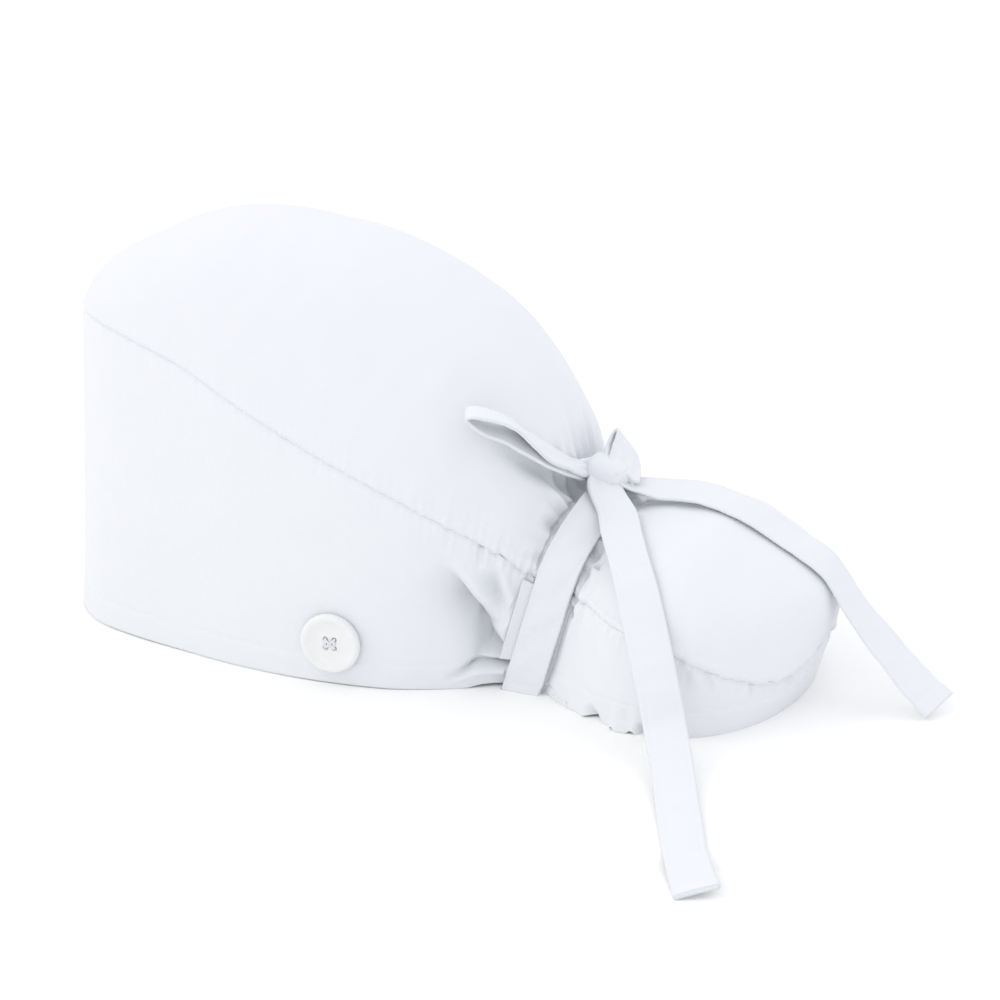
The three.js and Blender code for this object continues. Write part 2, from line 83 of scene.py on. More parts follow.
def smooth_between(padded, low, share):
    """Values at a share of the way from row low to the next one, on a smooth curve. The table has
    one more row at each end."""
    a, b, c, d = (padded[low + k] for k in range(4))
    smooth = 2 * b + (c - a) * share + (2 * a - 5 * b + 4 * c - d) * share ** 2
    return 0.5 * (smooth + (3 * b - a - 3 * c + d) * share ** 3)


def section_at(row):
    """The section at a row number, which may lie between two rows of the table."""
    row = np.clip(np.asarray(row, float), 0, LAST_ROW)
    low = np.minimum(np.floor(row).astype(int), LAST_ROW - 1)
    return smooth_between(PADDED_SECTIONS, low, (row - low)[..., None])


def cap_point(row, climb, side=1.0):
    """A point of the smooth cap. climb is 0 at the rim, 1 at the seam, 2 at the top and 3 at the
    far seam; side is 1 on the near flank and -1 on the far one."""
    row, climb, side = np.broadcast_arrays(np.asarray(row, float), climb, side)
    along, width, seam, dome, lean = np.moveaxis(section_at(row), -1, 0)
    turn = np.maximum(climb - 1, 0) * math.pi / 2
    height = seam * np.minimum(climb, 1) + dome * np.sin(turn)
    return np.stack([side * width * np.cos(turn), along + lean * height, height], -1)


def unit(vectors):
    """The same vectors with a length of 1."""
    return vectors / np.maximum(np.linalg.norm(vectors, axis=-1, keepdims=True), 1e-9)


def travelled(points):
    """Distance along a line of points, from its first one to each."""
    return np.concatenate([[0], np.cumsum(np.linalg.norm(np.diff(points, axis=0), axis=1))])


def grid_normals(points, ring):
    """Unit normals of a grid of points. A ring's last column is joined to its first."""
    if ring:
        wide = np.concatenate([points[-1:], points, points[:1]])
        down = np.gradient(wide, axis=0)[1:-1]
    else:
        down = np.gradient(points, axis=0)
    return unit(np.cross(down, np.gradient(points, axis=1)))


def drift(points, wavelength, seed):
    """Slow random swells over the cloth, from -1 to 1, the same on every run."""
    rng = np.random.RandomState(seed)
    waves = rng.normal(size=(7, 3)) * 2 * math.pi / wavelength / 1.7
    phases = rng.uniform(0, 2 * math.pi, 7)
    return np.cos(points @ waves.T + phases).mean(-1) * 1.9


def smoothstep(value):
    """An eased step, from 0 at a value of 0 to 1 at a value of 1."""
    value = np.clip(value, 0, 1)
    return value * value * (3 - 2 * value)


def extended(stations):
    """The stations with one more at each end, straight on."""
    stations = np.asarray(stations, float)
    return np.vstack([2 * stations[0] - stations[1], stations, 2 * stations[-1] - stations[-2]])


def along_path(path):
    """Even samples of a smooth line through (row, climb) stations."""
    place = np.linspace(0, len(path) - 1, CREASE_SAMPLES)
    low = np.minimum(place.astype(int), len(path) - 2)
    return smooth_between(extended(path), low, (place - low)[:, None])


def crease(points, normals, path, depth, reach, side, lip, slope, ends, pull=0.0):
    """Moves of the cloth at one crease, in millimetres. It runs along path, is depth deep and about
    reach wide; lip raises its left bank and pull leans that bank over the valley, and slope
    stretches its right bank. ends are the shares of the path over which it fades."""
    samples = along_path(path)
    line = cap_point(samples[:, 0], samples[:, 1], side)
    margin = reach * (2.5 * max(slope, 1) + 1)
    near = np.all((points > line.min(0) - margin) & (points < line.max(0) + margin), axis=-1)
    moves = np.zeros(points.shape)
    if not near.any():
        return moves
    chosen = points[near]
    gaps = chosen[:, None, :] - line[None]
    nearest = (gaps ** 2).sum(-1).argmin(1)
    tangent = unit(np.gradient(line, axis=0)[nearest])
    left = np.cross(normals[near], tangent) * side
    gap = gaps[np.arange(len(chosen)), nearest]
    aside = (gap * left).sum(1) / reach
    at_end = (nearest == 0) | (nearest == len(line) - 1)
    beyond = np.where(at_end, (gap * tangent).sum(1) / reach, 0)
    valley = np.exp(-np.where(aside < 0, aside / slope, aside) ** 2)
    bank = np.exp(-((aside - BANK_PLACE) / BANK_WIDTH) ** 2)
    share = nearest / (len(line) - 1)
    fade = smoothstep(share / ends[0]) if ends[0] else np.ones(len(share))
    if ends[1]:
        fade = fade * smoothstep((1 - share) / ends[1])
    fade = fade * np.exp(-beyond ** 2)
    out = depth * fade * (lip * bank - valley)
    lean = pull * fade * np.exp(-((aside - LEAN_PLACE) / BANK_WIDTH) ** 2)
    moves[near] = normals[near] * out[:, None] - left * lean[:, None]
    return moves


# Where a crease has its raised bank and the most lean, and how wide they are, as shares of its reach.
BANK_PLACE = 1.5
LEAN_PLACE = 0.9
BANK_WIDTH = 0.8
CREASE_SAMPLES = 90
# Creases of the band on the near flank, seen in the photograph: path of (row, climb) stations,
# depth and reach in millimetres, lip, slope of the right bank, fading ends, and pull. The first one
# is the deep fold that the strap pulls into the flank.
BAND_CREASES = [
    ([(8.6, 0.78), (9.1, 0.70), (9.7, 0.61), (10.4, 0.51), (11.5, 0.32)],
     13.5, 3.1, 0.30, 3.2, (0.6, 0), 3.4),
    ([(9.5, 0.985), (9.55, 0.90), (9.62, 0.80)], 1.6, 1.3, 0.2, 1.3, (0, 0.7), 0),
    ([(9.85, 0.90), (10.15, 0.79), (10.6, 0.67), (11.2, 0.52)], 4.6, 2.3, 0.35, 2.0, (0.5, 0), 1.0),
    ([(12.6, 0.17), (11.4, 0.155), (10.5, 0.15), (9.9, 0.12), (9.1, 0.04)],
     6.0, 1.35, 0.36, 1.6, (0, 0.45), 1.5),
    ([(14.0, 0.80), (14.5, 0.79), (15.1, 0.82)], 2.0, 1.1, 0, 1.2, (0, 0.8), 0),
    ([(14.02, 0.02), (14.02, 0.45), (14.02, 0.80)], 0.5, 0.5, 0, 1.0, (0, 0), 0),
    ([(14.1, 0.085), (14.8, 0.08), (15.6, 0.05)], 0.7, 0.6, 0.3, 1.0, (0, 0.6), 0),
    ([(17.1, -0.02), (16.95, 0.08), (16.8, 0.17)], 5.0, 3.0, 0.1, 0.8, (0, 0.95), 0),
    ([(17.8, -0.02), (17.8, 0.06), (17.8, 0.14)], -2.6, 3.2, 0, 1.0, (0, 0.9), 0),
    ([(18.35, -0.02), (18.25, 0.07), (18.2, 0.16)], 3.2, 1.7, 0.3, 1.0, (0, 0.7), 0),
    ([(18.7, 0.96), (18.9, 0.80), (19.0, 0.60)], 2.0, 2.0, 0.3, 1.2, (0, 0.7), 0),
    ([(19.3, 0.97), (19.4, 0.84), (19.45, 0.70)], 1.6, 1.3, 0.3, 1.0, (0, 0.7), 0),
    ([(20.4, 0.97), (20.45, 0.80), (20.4, 0.55)], 1.7, 1.5, 0.3, 1.0, (0, 0.7), 0),
    ([(20.9, 0.97), (20.95, 0.82), (20.95, 0.66)], 1.2, 1.2, 0.3, 1.0, (0, 0.7), 0),
    ([(21.5, 0.97), (21.5, 0.80), (21.45, 0.55)], 1.7, 1.5, 0.3, 1.0, (0, 0.7), 0),
]
FAR_BAND_CREASES = [
    ([(8.9, 0.80), (9.5, 0.68), (10.3, 0.52), (11.4, 0.30)], 5.6, 3.0, 0.35, 3.2, (0.45, 0), 1.5),
    ([(9.8, 0.95), (10.2, 0.80), (11.2, 0.60)], 3.2, 2.4, 0.35, 1.6, (0.5, 0), 0.6),
    ([(12.2, 0.17), (10.2, 0.13), (9.4, 0.04)], 3.2, 1.4, 0.40, 1.5, (0, 0.4), 0.6),
    ([(15.2, 0.80), (15.8, 0.72), (16.6, 0.70)], 1.8, 2.0, 0.3, 1.0, (0.2, 0.6), 0),
    ([(16.4, -0.02), (16.3, 0.12), (16.4, 0.24)], 3.6, 2.6, 0.2, 1.0, (0, 0.8), 0),
    ([(17.4, -0.02), (17.4, 0.10), (17.5, 0.20)], 2.4, 1.6, 0.4, 1.0, (0, 0.6), 0),
    ([(18.9, 0.97), (19.0, 0.80), (18.95, 0.60)], 1.8, 1.8, 0.3, 1.2, (0, 0.7), 0),
    ([(20.1, 0.97), (20.2, 0.80), (20.15, 0.60)], 1.6, 1.6, 0.3, 1.0, (0, 0.7), 0),
    ([(21.2, 0.97), (21.3, 0.80), (21.2, 0.60)], 1.5, 1.5, 0.3, 1.0, (0, 0.7), 0),
]
SEAM_DIP = 1.0
SEAM_DIP_REACH = 1.1
HEM_DEPTH = 10.0
ELASTIC_ROWS = (14.3, 18.7)
ELASTIC_DEPTH = 1.0
ELASTIC_PITCH = 9.5
BAND_THICKNESS = 0.9
# Distance along the seam, from the front to each place of a fine scale of rows.
SEAM_ROWS = np.linspace(0, LAST_ROW, 2400)
SEAM_AT = travelled(cap_point(SEAM_ROWS, 1.0))


def pucker(row, side, seed):
    """Fine gathers along the seam, from -1 to 1, as the cloth is eased into it."""
    rng = np.random.RandomState(seed)
    place = np.interp(row, SEAM_ROWS, SEAM_AT) * side
    total = np.zeros(np.shape(place))
    for pitch in (3.4, 4.9, 6.7, 9.6, 14.0):
        total += np.cos(2 * math.pi * place / pitch + rng.uniform(0, 2 * math.pi))
    return total / 2.6


def seam_slip(row):
    """How far the seam sags below its line on the smooth cap beside the neck, as a share of climb."""
    sag = np.interp(row, [6.5, 8, 9.5, 10.3, 11.3, 12, 14.1, 14.6, 15.1, 15.7],
                    [0, 1.0, 1.5, 2.6, 4.0, 4.4, 4.8, 3.2, 1.4, 0])
    return sag / section_at(row)[..., 2]


def pucker_depth(row):
    """How deep the seam is gathered: a little over the head, more at the neck and the pouch."""
    return np.interp(row, [0, 7.5, 9.5, 12, 15, 17, 18.5, 21, 23],
                     [0.16, 0.2, 0.5, 0.8, 0.8, 0.4, 0.6, 0.7, 0.5])


def spaced_rows(rows, travel, closeness, count):
    """A count of rows along the cap, closer together where closeness is higher."""
    weight = np.concatenate([[0], np.cumsum(np.diff(travel) * closeness[1:])])
    return np.interp(np.linspace(0, weight[-1], count), weight, rows)


def band_grid(columns, rungs):
    """The band's outer points, its normals, and for each point row, climb and side. The columns
    stand closer together from the folds before the neck to the elastic hem."""
    closeness = 1 + 2.2 * smoothstep((SEAM_ROWS - 8) / 1.5) * smoothstep((19.5 - SEAM_ROWS) / 1.5)
    flank = spaced_rows(SEAM_ROWS, SEAM_AT, closeness, columns // 2 + 1)
    row = np.concatenate([flank, flank[-2:0:-1]])
    side = np.concatenate([np.ones(len(flank)), -np.ones(len(flank) - 2)])
    climb = np.linspace(0, 1, rungs)
    row, climb = np.meshgrid(row, climb, indexing="ij")
    side = np.broadcast_to(side[:, None], row.shape)
    points = cap_point(row, climb * (1 - seam_slip(row)), side)
    return points, grid_normals(points, True), row, climb, side


# How far the cloth may stand off the smooth cap, in millimetres, against the row: little under the
# strips that lie on it, and as far as it likes beside them.
FREE = 9
UNDER_STRAP = ([11.6, 11.9, 14.1, 14.4], [FREE, 0.9, 0.9, FREE])
UNDER_CASING = ([10.85, 11.2, 13.0, 13.3], [FREE, 0.02, 0.02, FREE])


def pressed_down(moves, normals, row, climb):
    """The same moves, standing no higher than the strips that lie on top allow."""
    out = (moves * normals).sum(-1)
    past_casing = smoothstep((0.24 - climb) / 0.06) + smoothstep((climb - 0.97) / 0.05)
    room = np.interp(row, *UNDER_CASING) + FREE * past_casing
    room = np.minimum(room, np.interp(row, *UNDER_STRAP))
    return moves - normals * np.maximum(out - room, 0)[..., None]


def band_moves(points, normals, row, climb, side):
    """Moves of the band's cloth off the smooth cap, in millimetres, and its elastic ruffle, from -1
    to 1: slow swells, the gathered and sunk seam, the ruffle, the hem, and the creases."""
    section = section_at(row)
    below_seam = (1 - climb) * section[..., 2]
    above_rim = climb * section[..., 2]
    depth = 0.5 * drift(points, 70, 3) * smoothstep(above_rim / 20) + 0.16 * drift(points, 24, 4)
    depth += pucker_depth(row) * pucker(row, side, 11) * np.exp(-below_seam / 5)
    depth -= SEAM_DIP * np.exp(-(below_seam / SEAM_DIP_REACH) ** 2)
    ruffled = smoothstep((row - ELASTIC_ROWS[0]) * 2) * smoothstep((ELASTIC_ROWS[1] - row) * 2)
    place = np.interp(row, SEAM_ROWS, SEAM_AT)
    wander = 1.1 * np.sin(place / 6.1) + 0.8 * np.sin(place / 3.7 + side)
    ruffle = np.sin(2 * math.pi * place / ELASTIC_PITCH + wander)
    ruffled = ruffled * np.interp(row, [14.3, 16.2, 16.8], [0.25, 0.35, 1.0])
    depth += ELASTIC_DEPTH * 0.5 * ruffled * ruffle * np.exp(-above_rim / 7)
    hem = smoothstep((HEM_DEPTH + 0.7 - above_rim) / 1.4) * (1 - ruffled)
    depth += 0.25 * hem - 0.22 * np.exp(-((above_rim - HEM_DEPTH) / 0.8) ** 2)
    moves = normals * depth[..., None]
    for table, flank in ((BAND_CREASES, 1.0), (FAR_BAND_CREASES, -1.0)):
        for path, deep, reach, lip, slope, ends, pull in table:
            here = (side == flank)[..., None]
            moves += crease(points, normals, path, deep, reach, flank, lip, slope, ends, pull) * here
    return pressed_down(moves, normals, row, climb), ruffled * ruffle


def cloth_object(name, outer, inner, ring, lengths):
    """A closed cloth piece from an outer and an inner grid in millimetres, with rounded long
    edges. lengths gives each grid point its place on the flat cloth."""
    rows, columns = outer.shape[:2]
    rims = []
    for j in (-1, 0):
        outward = unit(outer[:, j] - outer[:, 1 if j == 0 else -2])
        half = np.linalg.norm(outer[:, j] - inner[:, j], axis=1, keepdims=True) * 0.42
        rims.append(((outer[:, j] + inner[:, j]) / 2 + outward * half)[:, None])
    loop = np.concatenate([outer, rims[0], inner[:, ::-1], rims[1]], axis=1)
    loop[..., 2] = np.maximum(loop[..., 2], 0.0)
    around = loop.shape[1]
    place = np.concatenate([lengths, lengths[:, -1:], lengths[:, ::-1], lengths[:, :1]], axis=1)
    i, k = np.meshgrid(np.arange(rows if ring else rows - 1), np.arange(around), indexing="ij")
    i, k = i.ravel(), k.ravel()
    corners = np.stack([i, i, i + 1, i + 1], 1), np.stack([k, k + 1, k + 1, k], 1) % around
    faces = (corners[0] % rows) * around + corners[1]
    if ring:
        period = 2 * lengths[-1, :, 0].mean() - lengths[-2, :, 0].mean()
        wrapped = place[:1].copy()
        wrapped[..., 0] += period
        place = np.concatenate([place, wrapped])
    uv = place[corners[0], corners[1]]
    faces, uv = faces.tolist(), uv.reshape(-1, 2)
    if not ring:
        across = [[around - 1, 0, around - 2]]
        across += [[j - 1, j, around - 2 - j, around - 1 - j] for j in range(1, columns)]
        across += [[columns - 1, columns, columns + 1]]
        cap_uv = []
        for end, turn in ((0, -1), (rows - 1, 1)):
            for cap in across:
                faces.append([end * around + q for q in cap[::turn]])
                cap_uv += [place[end, q] for q in cap[::turn]]
        uv = np.vstack([uv, np.array(cap_uv)])
    return mesh_object(name, loop, faces, uv)


def mesh_object(name, points, faces, uv):
    """A smooth closed piece from points in millimetres and the flat place of each face's corners.
    Its faces are turned outward if they come out inside out."""
    mesh = bpy.data.meshes.new(name)
    mesh.from_pydata(((points.reshape(-1, 3) + CAD_SHIFT) / 1000).tolist(), [], faces)
    layer = mesh.uv_layers.new(name="cloth")
    layer.data.foreach_set("uv", (uv / 1000).astype(np.float32).ravel())
    mesh.polygons.foreach_set("use_smooth", [True] * len(mesh.polygons))
    mesh.calc_loop_triangles()
    corners = np.zeros(len(mesh.loop_triangles) * 3, int)
    mesh.loop_triangles.foreach_get("vertices", corners)
    places = np.zeros(len(mesh.vertices) * 3)
    mesh.vertices.foreach_get("co", places)
    a, b, c = np.moveaxis(places.reshape(-1, 3)[corners.reshape(-1, 3)], 1, 0)
    if (a * np.cross(b, c)).sum() < 0:
        mesh.flip_normals()
    mesh.update()
    piece = bpy.data.objects.new(name, mesh)
    bpy.context.collection.objects.link(piece)
    return piece


def sheet_area(outer, ring=False):
    """Area of one side of the cloth, in square metres."""
    grid = np.concatenate([outer, outer[:1]]) if ring else outer
    a, b, c, d = grid[:-1, :-1], grid[1:, :-1], grid[1:, 1:], grid[:-1, 1:]
    first = np.linalg.norm(np.cross(b - a, c - a), axis=-1)
    second = np.linalg.norm(np.cross(c - a, d - a), axis=-1)
    return float((first + second).sum() / 2 / 1e6)


def node_group(name, inputs, outputs):
    """An empty shader group with named sockets: (name, kind, default) for each input."""
    group = bpy.data.node_groups.new(name, "ShaderNodeTree")
    for label, kind, value in inputs:
        socket = group.interface.new_socket(label, in_out="INPUT", socket_type=kind)
        if value is not None:
            socket.default_value = value
    for label, kind in outputs:
        group.interface.new_socket(label, in_out="OUTPUT", socket_type=kind)
    return group, group.nodes.new("NodeGroupInput"), group.nodes.new("NodeGroupOutput")


def feed(tree, node, inputs):
    """Feeds a node's inputs with plain values or with other nodes' sockets."""
    for label, value in inputs.items():
        if isinstance(value, bpy.types.NodeSocket):
            tree.links.new(value, node.inputs[label])
        else:
            node.inputs[label].default_value = value


def shader_node(tree, kind, inputs, **settings):
    """A new shader node with its settings made and its inputs fed."""
    node = tree.nodes.new("ShaderNode" + kind)
    for setting, value in settings.items():
        setattr(node, setting, value)
    feed(tree, node, inputs)
    return node


def math_node(tree, operation, *values):
    """A Math node fed by sockets or plain numbers."""
    return shader_node(tree, "Math", dict(enumerate(values)), operation=operation).outputs[0]


def between_colours(tree, factor, first, second):
    """A colour between two, by a socket that runs from 0 to 1."""
    inputs = {"Factor": factor, "A": (*first, 1), "B": (*second, 1)}
    return shader_node(tree, "Mix", inputs, data_type="RGBA").outputs["Result"]


def plain_weave_group():
    """Over-and-under threads of a plain weave, with the slubs and unevenness of spun yarn."""
    group, source, sink = node_group(
        "plain_weave",
        [("Thread Pitch", "NodeSocketFloat", 0.0004), ("Slub", "NodeSocketFloat", 0.4)],
        [("Height", "NodeSocketFloat"), ("Shade", "NodeSocketFloat")])
    place = shader_node(group, "UVMap", {}, uv_map="cloth").outputs[0]
    split = shader_node(group, "SeparateXYZ", {0: place})
    turns = math_node(group, "DIVIDE", math.pi, source.outputs["Thread Pitch"])
    warp = math_node(group, "MULTIPLY", split.outputs[0], turns)
    weft = math_node(group, "MULTIPLY", split.outputs[1], turns)
    over = math_node(group, "MULTIPLY", math_node(group, "SINE", warp), math_node(group, "SINE", weft))
    yarns = []
    for stretch in ((60.0, 2400.0, 1.0), (2400.0, 60.0, 1.0)):
        scaled = shader_node(group, "Mapping", {0: place, "Scale": stretch}).outputs[0]
        noise = shader_node(group, "TexNoise", {"Vector": scaled, "Scale": 1.0, "Detail": 2.0})
        yarns.append(noise.outputs[0])
    slub = math_node(group, "ADD", yarns[0], yarns[1])
    slub = math_node(group, "MULTIPLY", math_node(group, "SUBTRACT", slub, 1.0), source.outputs["Slub"])
    height = math_node(group, "ADD", math_node(group, "MULTIPLY", over, 0.5), slub)
    shade = math_node(group, "ADD", math_node(group, "MULTIPLY", slub, 0.5), 0.5)
    feed(group, sink, {"Height": height, "Shade": shade})
    return group


PLAIN_WEAVE = plain_weave_group()


def cotton_material(name, colour, shade_colour, weave_depth, crumple, pitch=0.0005):
    """White poly-cotton: a fine plain weave, a little yarn variation and a soft pressed surface.
    pitch is the width of one thread, and weave_depth and crumple are heights, in metres."""
    material = bpy.data.materials.new(name)
    material.use_nodes = True
    tree = material.node_tree
    weave = shader_node(tree, "Group", {"Thread Pitch": pitch}, node_tree=PLAIN_WEAVE)
    place = shader_node(tree, "TexCoord", {}).outputs["Object"]
    swell = shader_node(
        tree, "TexNoise", {"Vector": place, "Scale": 70.0, "Detail": 5.0, "Roughness": 0.55}).outputs[0]
    yarn_shade = math_node(tree, "MULTIPLY", weave.outputs["Shade"], 0.5)
    shade = math_node(tree, "ADD", yarn_shade, math_node(tree, "MULTIPLY", swell, 0.5))
    weave_bump = shader_node(
        tree, "Bump", {"Height": weave.outputs["Height"], "Distance": weave_depth, "Strength": 0.25})
    soft_bump = shader_node(
        tree, "Bump",
        {"Height": swell, "Distance": crumple, "Strength": 0.6, "Normal": weave_bump.outputs[0]})
    yarn_roughness = math_node(tree, "MULTIPLY", weave.outputs["Shade"], 0.1)
    feed(tree, tree.nodes["Principled BSDF"], {
        "Base Color": between_colours(tree, shade, shade_colour, colour),
        "Roughness": math_node(tree, "ADD", yarn_roughness, 0.8),
        "Normal": soft_bump.outputs[0],
        "Specular IOR Level": 0.25,
        "Sheen Weight": 0.12,
        "Sheen Roughness": 0.6})
    return material


# The sections are moved as a whole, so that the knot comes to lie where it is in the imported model.
knot_low, knot_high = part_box("knot")
KNOT_CENTRE = cap_point(NECK_ROW, 2.0) + np.array([0, 1.55, 8.55])
CAD_SHIFT = np.array((knot_low + knot_high) / 2) * 1000 - KNOT_CENTRE

SHELL_CLOTH = cotton_material("shell_cloth", (0.818, 0.833, 0.842), (0.780, 0.796, 0.820), 0.00006, 0.0006)
BAND_COLUMNS = 1240
BAND_RUNGS = 124
# The rim rises before the strap, and stands a hair's breadth off the surface along the near flank.
RIM_LIFT = 1.3
RIM_GAP = 0.45
band_points, band_normals, band_row, band_climb, band_side = band_grid(BAND_COLUMNS, BAND_RUNGS)
band_normals[..., 2] *= np.minimum(band_climb * 4, 1)
moves, band_ruffle = band_moves(band_points, band_normals, band_row, band_climb, band_side)
band_outer = band_points + moves
band_inner = band_outer - band_normals * BAND_THICKNESS
band_lift = RIM_LIFT * smoothstep((band_row - 9.6) / 1.4) * smoothstep((13.6 - band_row) / 0.8)
band_gap = RIM_GAP * smoothstep((band_row - 1.6) / 1.5) * smoothstep((9.8 - band_row) / 0.8)
band_gap = band_gap * (1 + 0.35 * np.sin(band_row * 1.9)) * (band_side > 0)
for grid in (band_outer, band_inner):
    grid[..., 2] += (0.6 + 0.5 * band_ruffle) * np.abs(band_ruffle) * np.exp(-band_climb * 30)
    grid[..., 2] += band_lift * np.exp(-band_climb * 12) + band_gap * np.exp(-band_climb * 20)
band_travel = np.interp(band_row, SEAM_ROWS, SEAM_AT)
band_travel = np.where(band_side > 0, band_travel, 2 * SEAM_AT[-1] - band_travel)
band_lengths = np.stack([band_travel, band_climb * section_at(band_row)[..., 2]], -1)
side_band = cloth_object("cap_side_band", band_outer, band_inner, True, band_lengths)
side_band.data.materials.append(SHELL_CLOTH)
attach(side_band, "root")
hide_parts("side_band")

# Top panel: one long piece of the same cloth, wide over the crown, narrow at the neck and wide
# again over the pouch. The tie gathers it at the neck, so its fullness breaks into short pleats.

# Gathers that run from the strap over the crown: climb and row where each starts, climb and row
# where it ends, depth and reach in millimetres.
CROWN_GATHERS = [
    (1.14, 12.2, 1.10, 11.0, 1.2, 2.2),
    (1.30, 12.2, 1.20, 10.6, 1.4, 2.6),
    (1.47, 12.3, 1.36, 10.9, 3.2, 3.4),
    (1.60, 12.3, 1.50, 10.5, 1.8, 2.6),
    (1.72, 12.3, 1.62, 9.9, 2.6, 3.0),
    (1.83, 12.3, 1.72, 9.5, 2.4, 2.6),
    (1.91, 12.3, 1.85, 9.8, 2.4, 2.2),
    (1.99, 12.3, 1.97, 9.3, 2.8, 2.8),
    (2.07, 12.3, 2.07, 9.9, 2.0, 2.2),
    (2.15, 12.3, 2.22, 9.4, 2.6, 2.8),
    (2.26, 12.3, 2.36, 10.0, 2.4, 2.8),
    (2.40, 12.3, 2.52, 10.3, 2.8, 3.2),
    (2.56, 12.2, 2.66, 10.7, 2.2, 2.8),
    (2.72, 12.2, 2.82, 10.6, 1.6, 2.6),
    (2.88, 12.2, 2.92, 11.0, 1.2, 2.2),
]
# Gathers that run from the strap over the pouch, in the same way.
POUCH_GATHERS = [
    (1.20, 13.8, 1.16, 15.4, 1.2, 2.2),
    (1.40, 13.8, 1.36, 15.8, 1.8, 2.8),
    (1.58, 13.8, 1.52, 15.5, 1.4, 2.4),
    (1.74, 13.8, 1.70, 16.4, 1.8, 3.0),
    (1.88, 13.8, 1.85, 15.9, 1.6, 2.6),
    (2.02, 13.8, 2.03, 16.3, 1.8, 2.8),
    (2.16, 13.8, 2.18, 15.8, 1.5, 2.4),
    (2.32, 13.8, 2.38, 16.4, 1.9, 3.0),
    (2.50, 13.8, 2.56, 15.7, 1.5, 2.6),
    (2.66, 13.8, 2.72, 16.0, 1.6, 2.8),
    (2.82, 13.8, 2.84, 15.4, 1.2, 2.2),
]
# All gathers are made deeper by this.
GATHER_DEPTH = 1.3
# Hollows below the front loop and along the neck strap's edge: path, depth, reach, lip, slope, ends.
NECK_HOLLOWS = [
    ([(11.9, 1.88), (11.3, 1.76), (10.6, 1.63), (9.9, 1.52), (9.0, 1.44)], 5.2, 4.2, 0.12, 1.3, (0, 0.4)),
    ([(11.95, 1.00), (11.95, 1.40), (12.0, 1.85)], 1.0, 0.6, 0, 1.0, (0, 0)),
]
PANEL_ROWS = 500
PANEL_COLUMNS = 260
PANEL_THICKNESS = 0.9
# Cloth from the middle of the panel to each seam in millimetres, for its weave alone.
PANEL_REACH = 60


def panel_grid(rows, columns):
    """The top panel's outer points, its normals, and row and climb of each point. Its rows stand
    closer together at the neck, and it stops just short of the cap's two tips."""
    line = np.linspace(0.05, LAST_ROW - 0.06, 2400)
    closeness = 1 + 1.3 * np.exp(-((line - 12.5) / 2.4) ** 2)
    row = spaced_rows(line, travelled(cap_point(line, 1.7)), closeness, rows)
    row, climb = np.meshgrid(row, np.linspace(1, 3, columns), indexing="ij")
    folded = 2 - np.abs(climb - 2)
    folded = folded - seam_slip(row) * np.exp(-(folded - 1) / 0.2)
    points = cap_point(row, folded, np.where(climb <= 2, 1.0, -1.0))
    return points, grid_normals(points, False), row, climb


def panel_moves(points, normals, row, climb):
    """Moves of the panel's cloth off the smooth cap, in millimetres: slow swells, the gathered and
    sunk seam with the fullness beside it, the hollows, and the gathers."""
    section = section_at(row)
    quarter = math.pi / 2 * np.hypot(section[..., 1], section[..., 3]) / math.sqrt(2)
    from_seam = (1 - np.abs(climb - 2)) * quarter
    side = np.where(climb < 2, 1.0, -1.0)
    depth = 0.6 * drift(points, 75, 5) * smoothstep(from_seam / 15) + 0.16 * drift(points, 22, 6)
    depth += pucker_depth(row) * pucker(row, side, 12) * np.exp(-from_seam / 5)
    depth -= SEAM_DIP * np.exp(-(from_seam / SEAM_DIP_REACH) ** 2)
    depth += 0.55 * np.exp(-((from_seam - 3.6) / 2.2) ** 2)
    moves = normals * depth[..., None]
    for path, deep, reach, lip, slope, ends in NECK_HOLLOWS:
        moves += crease(points, normals, path, deep, reach, 1.0, lip, slope, ends)
    for gathers in (CROWN_GATHERS, POUCH_GATHERS):
        for climb_0, row_0, climb_1, row_1, deep, reach in gathers:
            middle = ((row_0 + row_1) / 2, (climb_0 + climb_1) / 2)
            path = [(row_0, climb_0), middle, (row_1, climb_1)]
            moves += crease(points, normals, path, deep * GATHER_DEPTH, reach, 1.0, 0.45, 1.2, (0, 0.9))
    return pressed_down(moves, normals, row, climb)


panel_points, panel_normals, panel_row, panel_climb = panel_grid(PANEL_ROWS, PANEL_COLUMNS)
panel_outer = panel_points + panel_moves(panel_points, panel_normals, panel_row, panel_climb)
panel_inner = panel_outer - panel_normals * PANEL_THICKNESS
panel_lengths = np.stack([np.interp(panel_row, SEAM_ROWS, SEAM_AT), (panel_climb - 2) * PANEL_REACH], -1)
top_panel = cloth_object("cap_top_panel", panel_outer, panel_inner, False, panel_lengths)
top_panel.data.materials.append(SHELL_CLOTH)
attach(top_panel, "root")
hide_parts("top_panel_crown", "top_panel_pouch")

# Casing strips: short tapes of the same cloth on each flank, beside the neck strap and running in
# under it. They cover the ends of the rear elastic, and are stitched down along both edges.
CASING_WIDTH = 12.0
CASING_THICKNESS = 0.8
CASING_LIFT = 0.3
CASING_FRONT_ROW = 11.30
CASING_CLIMBS = (0.24, 0.88)


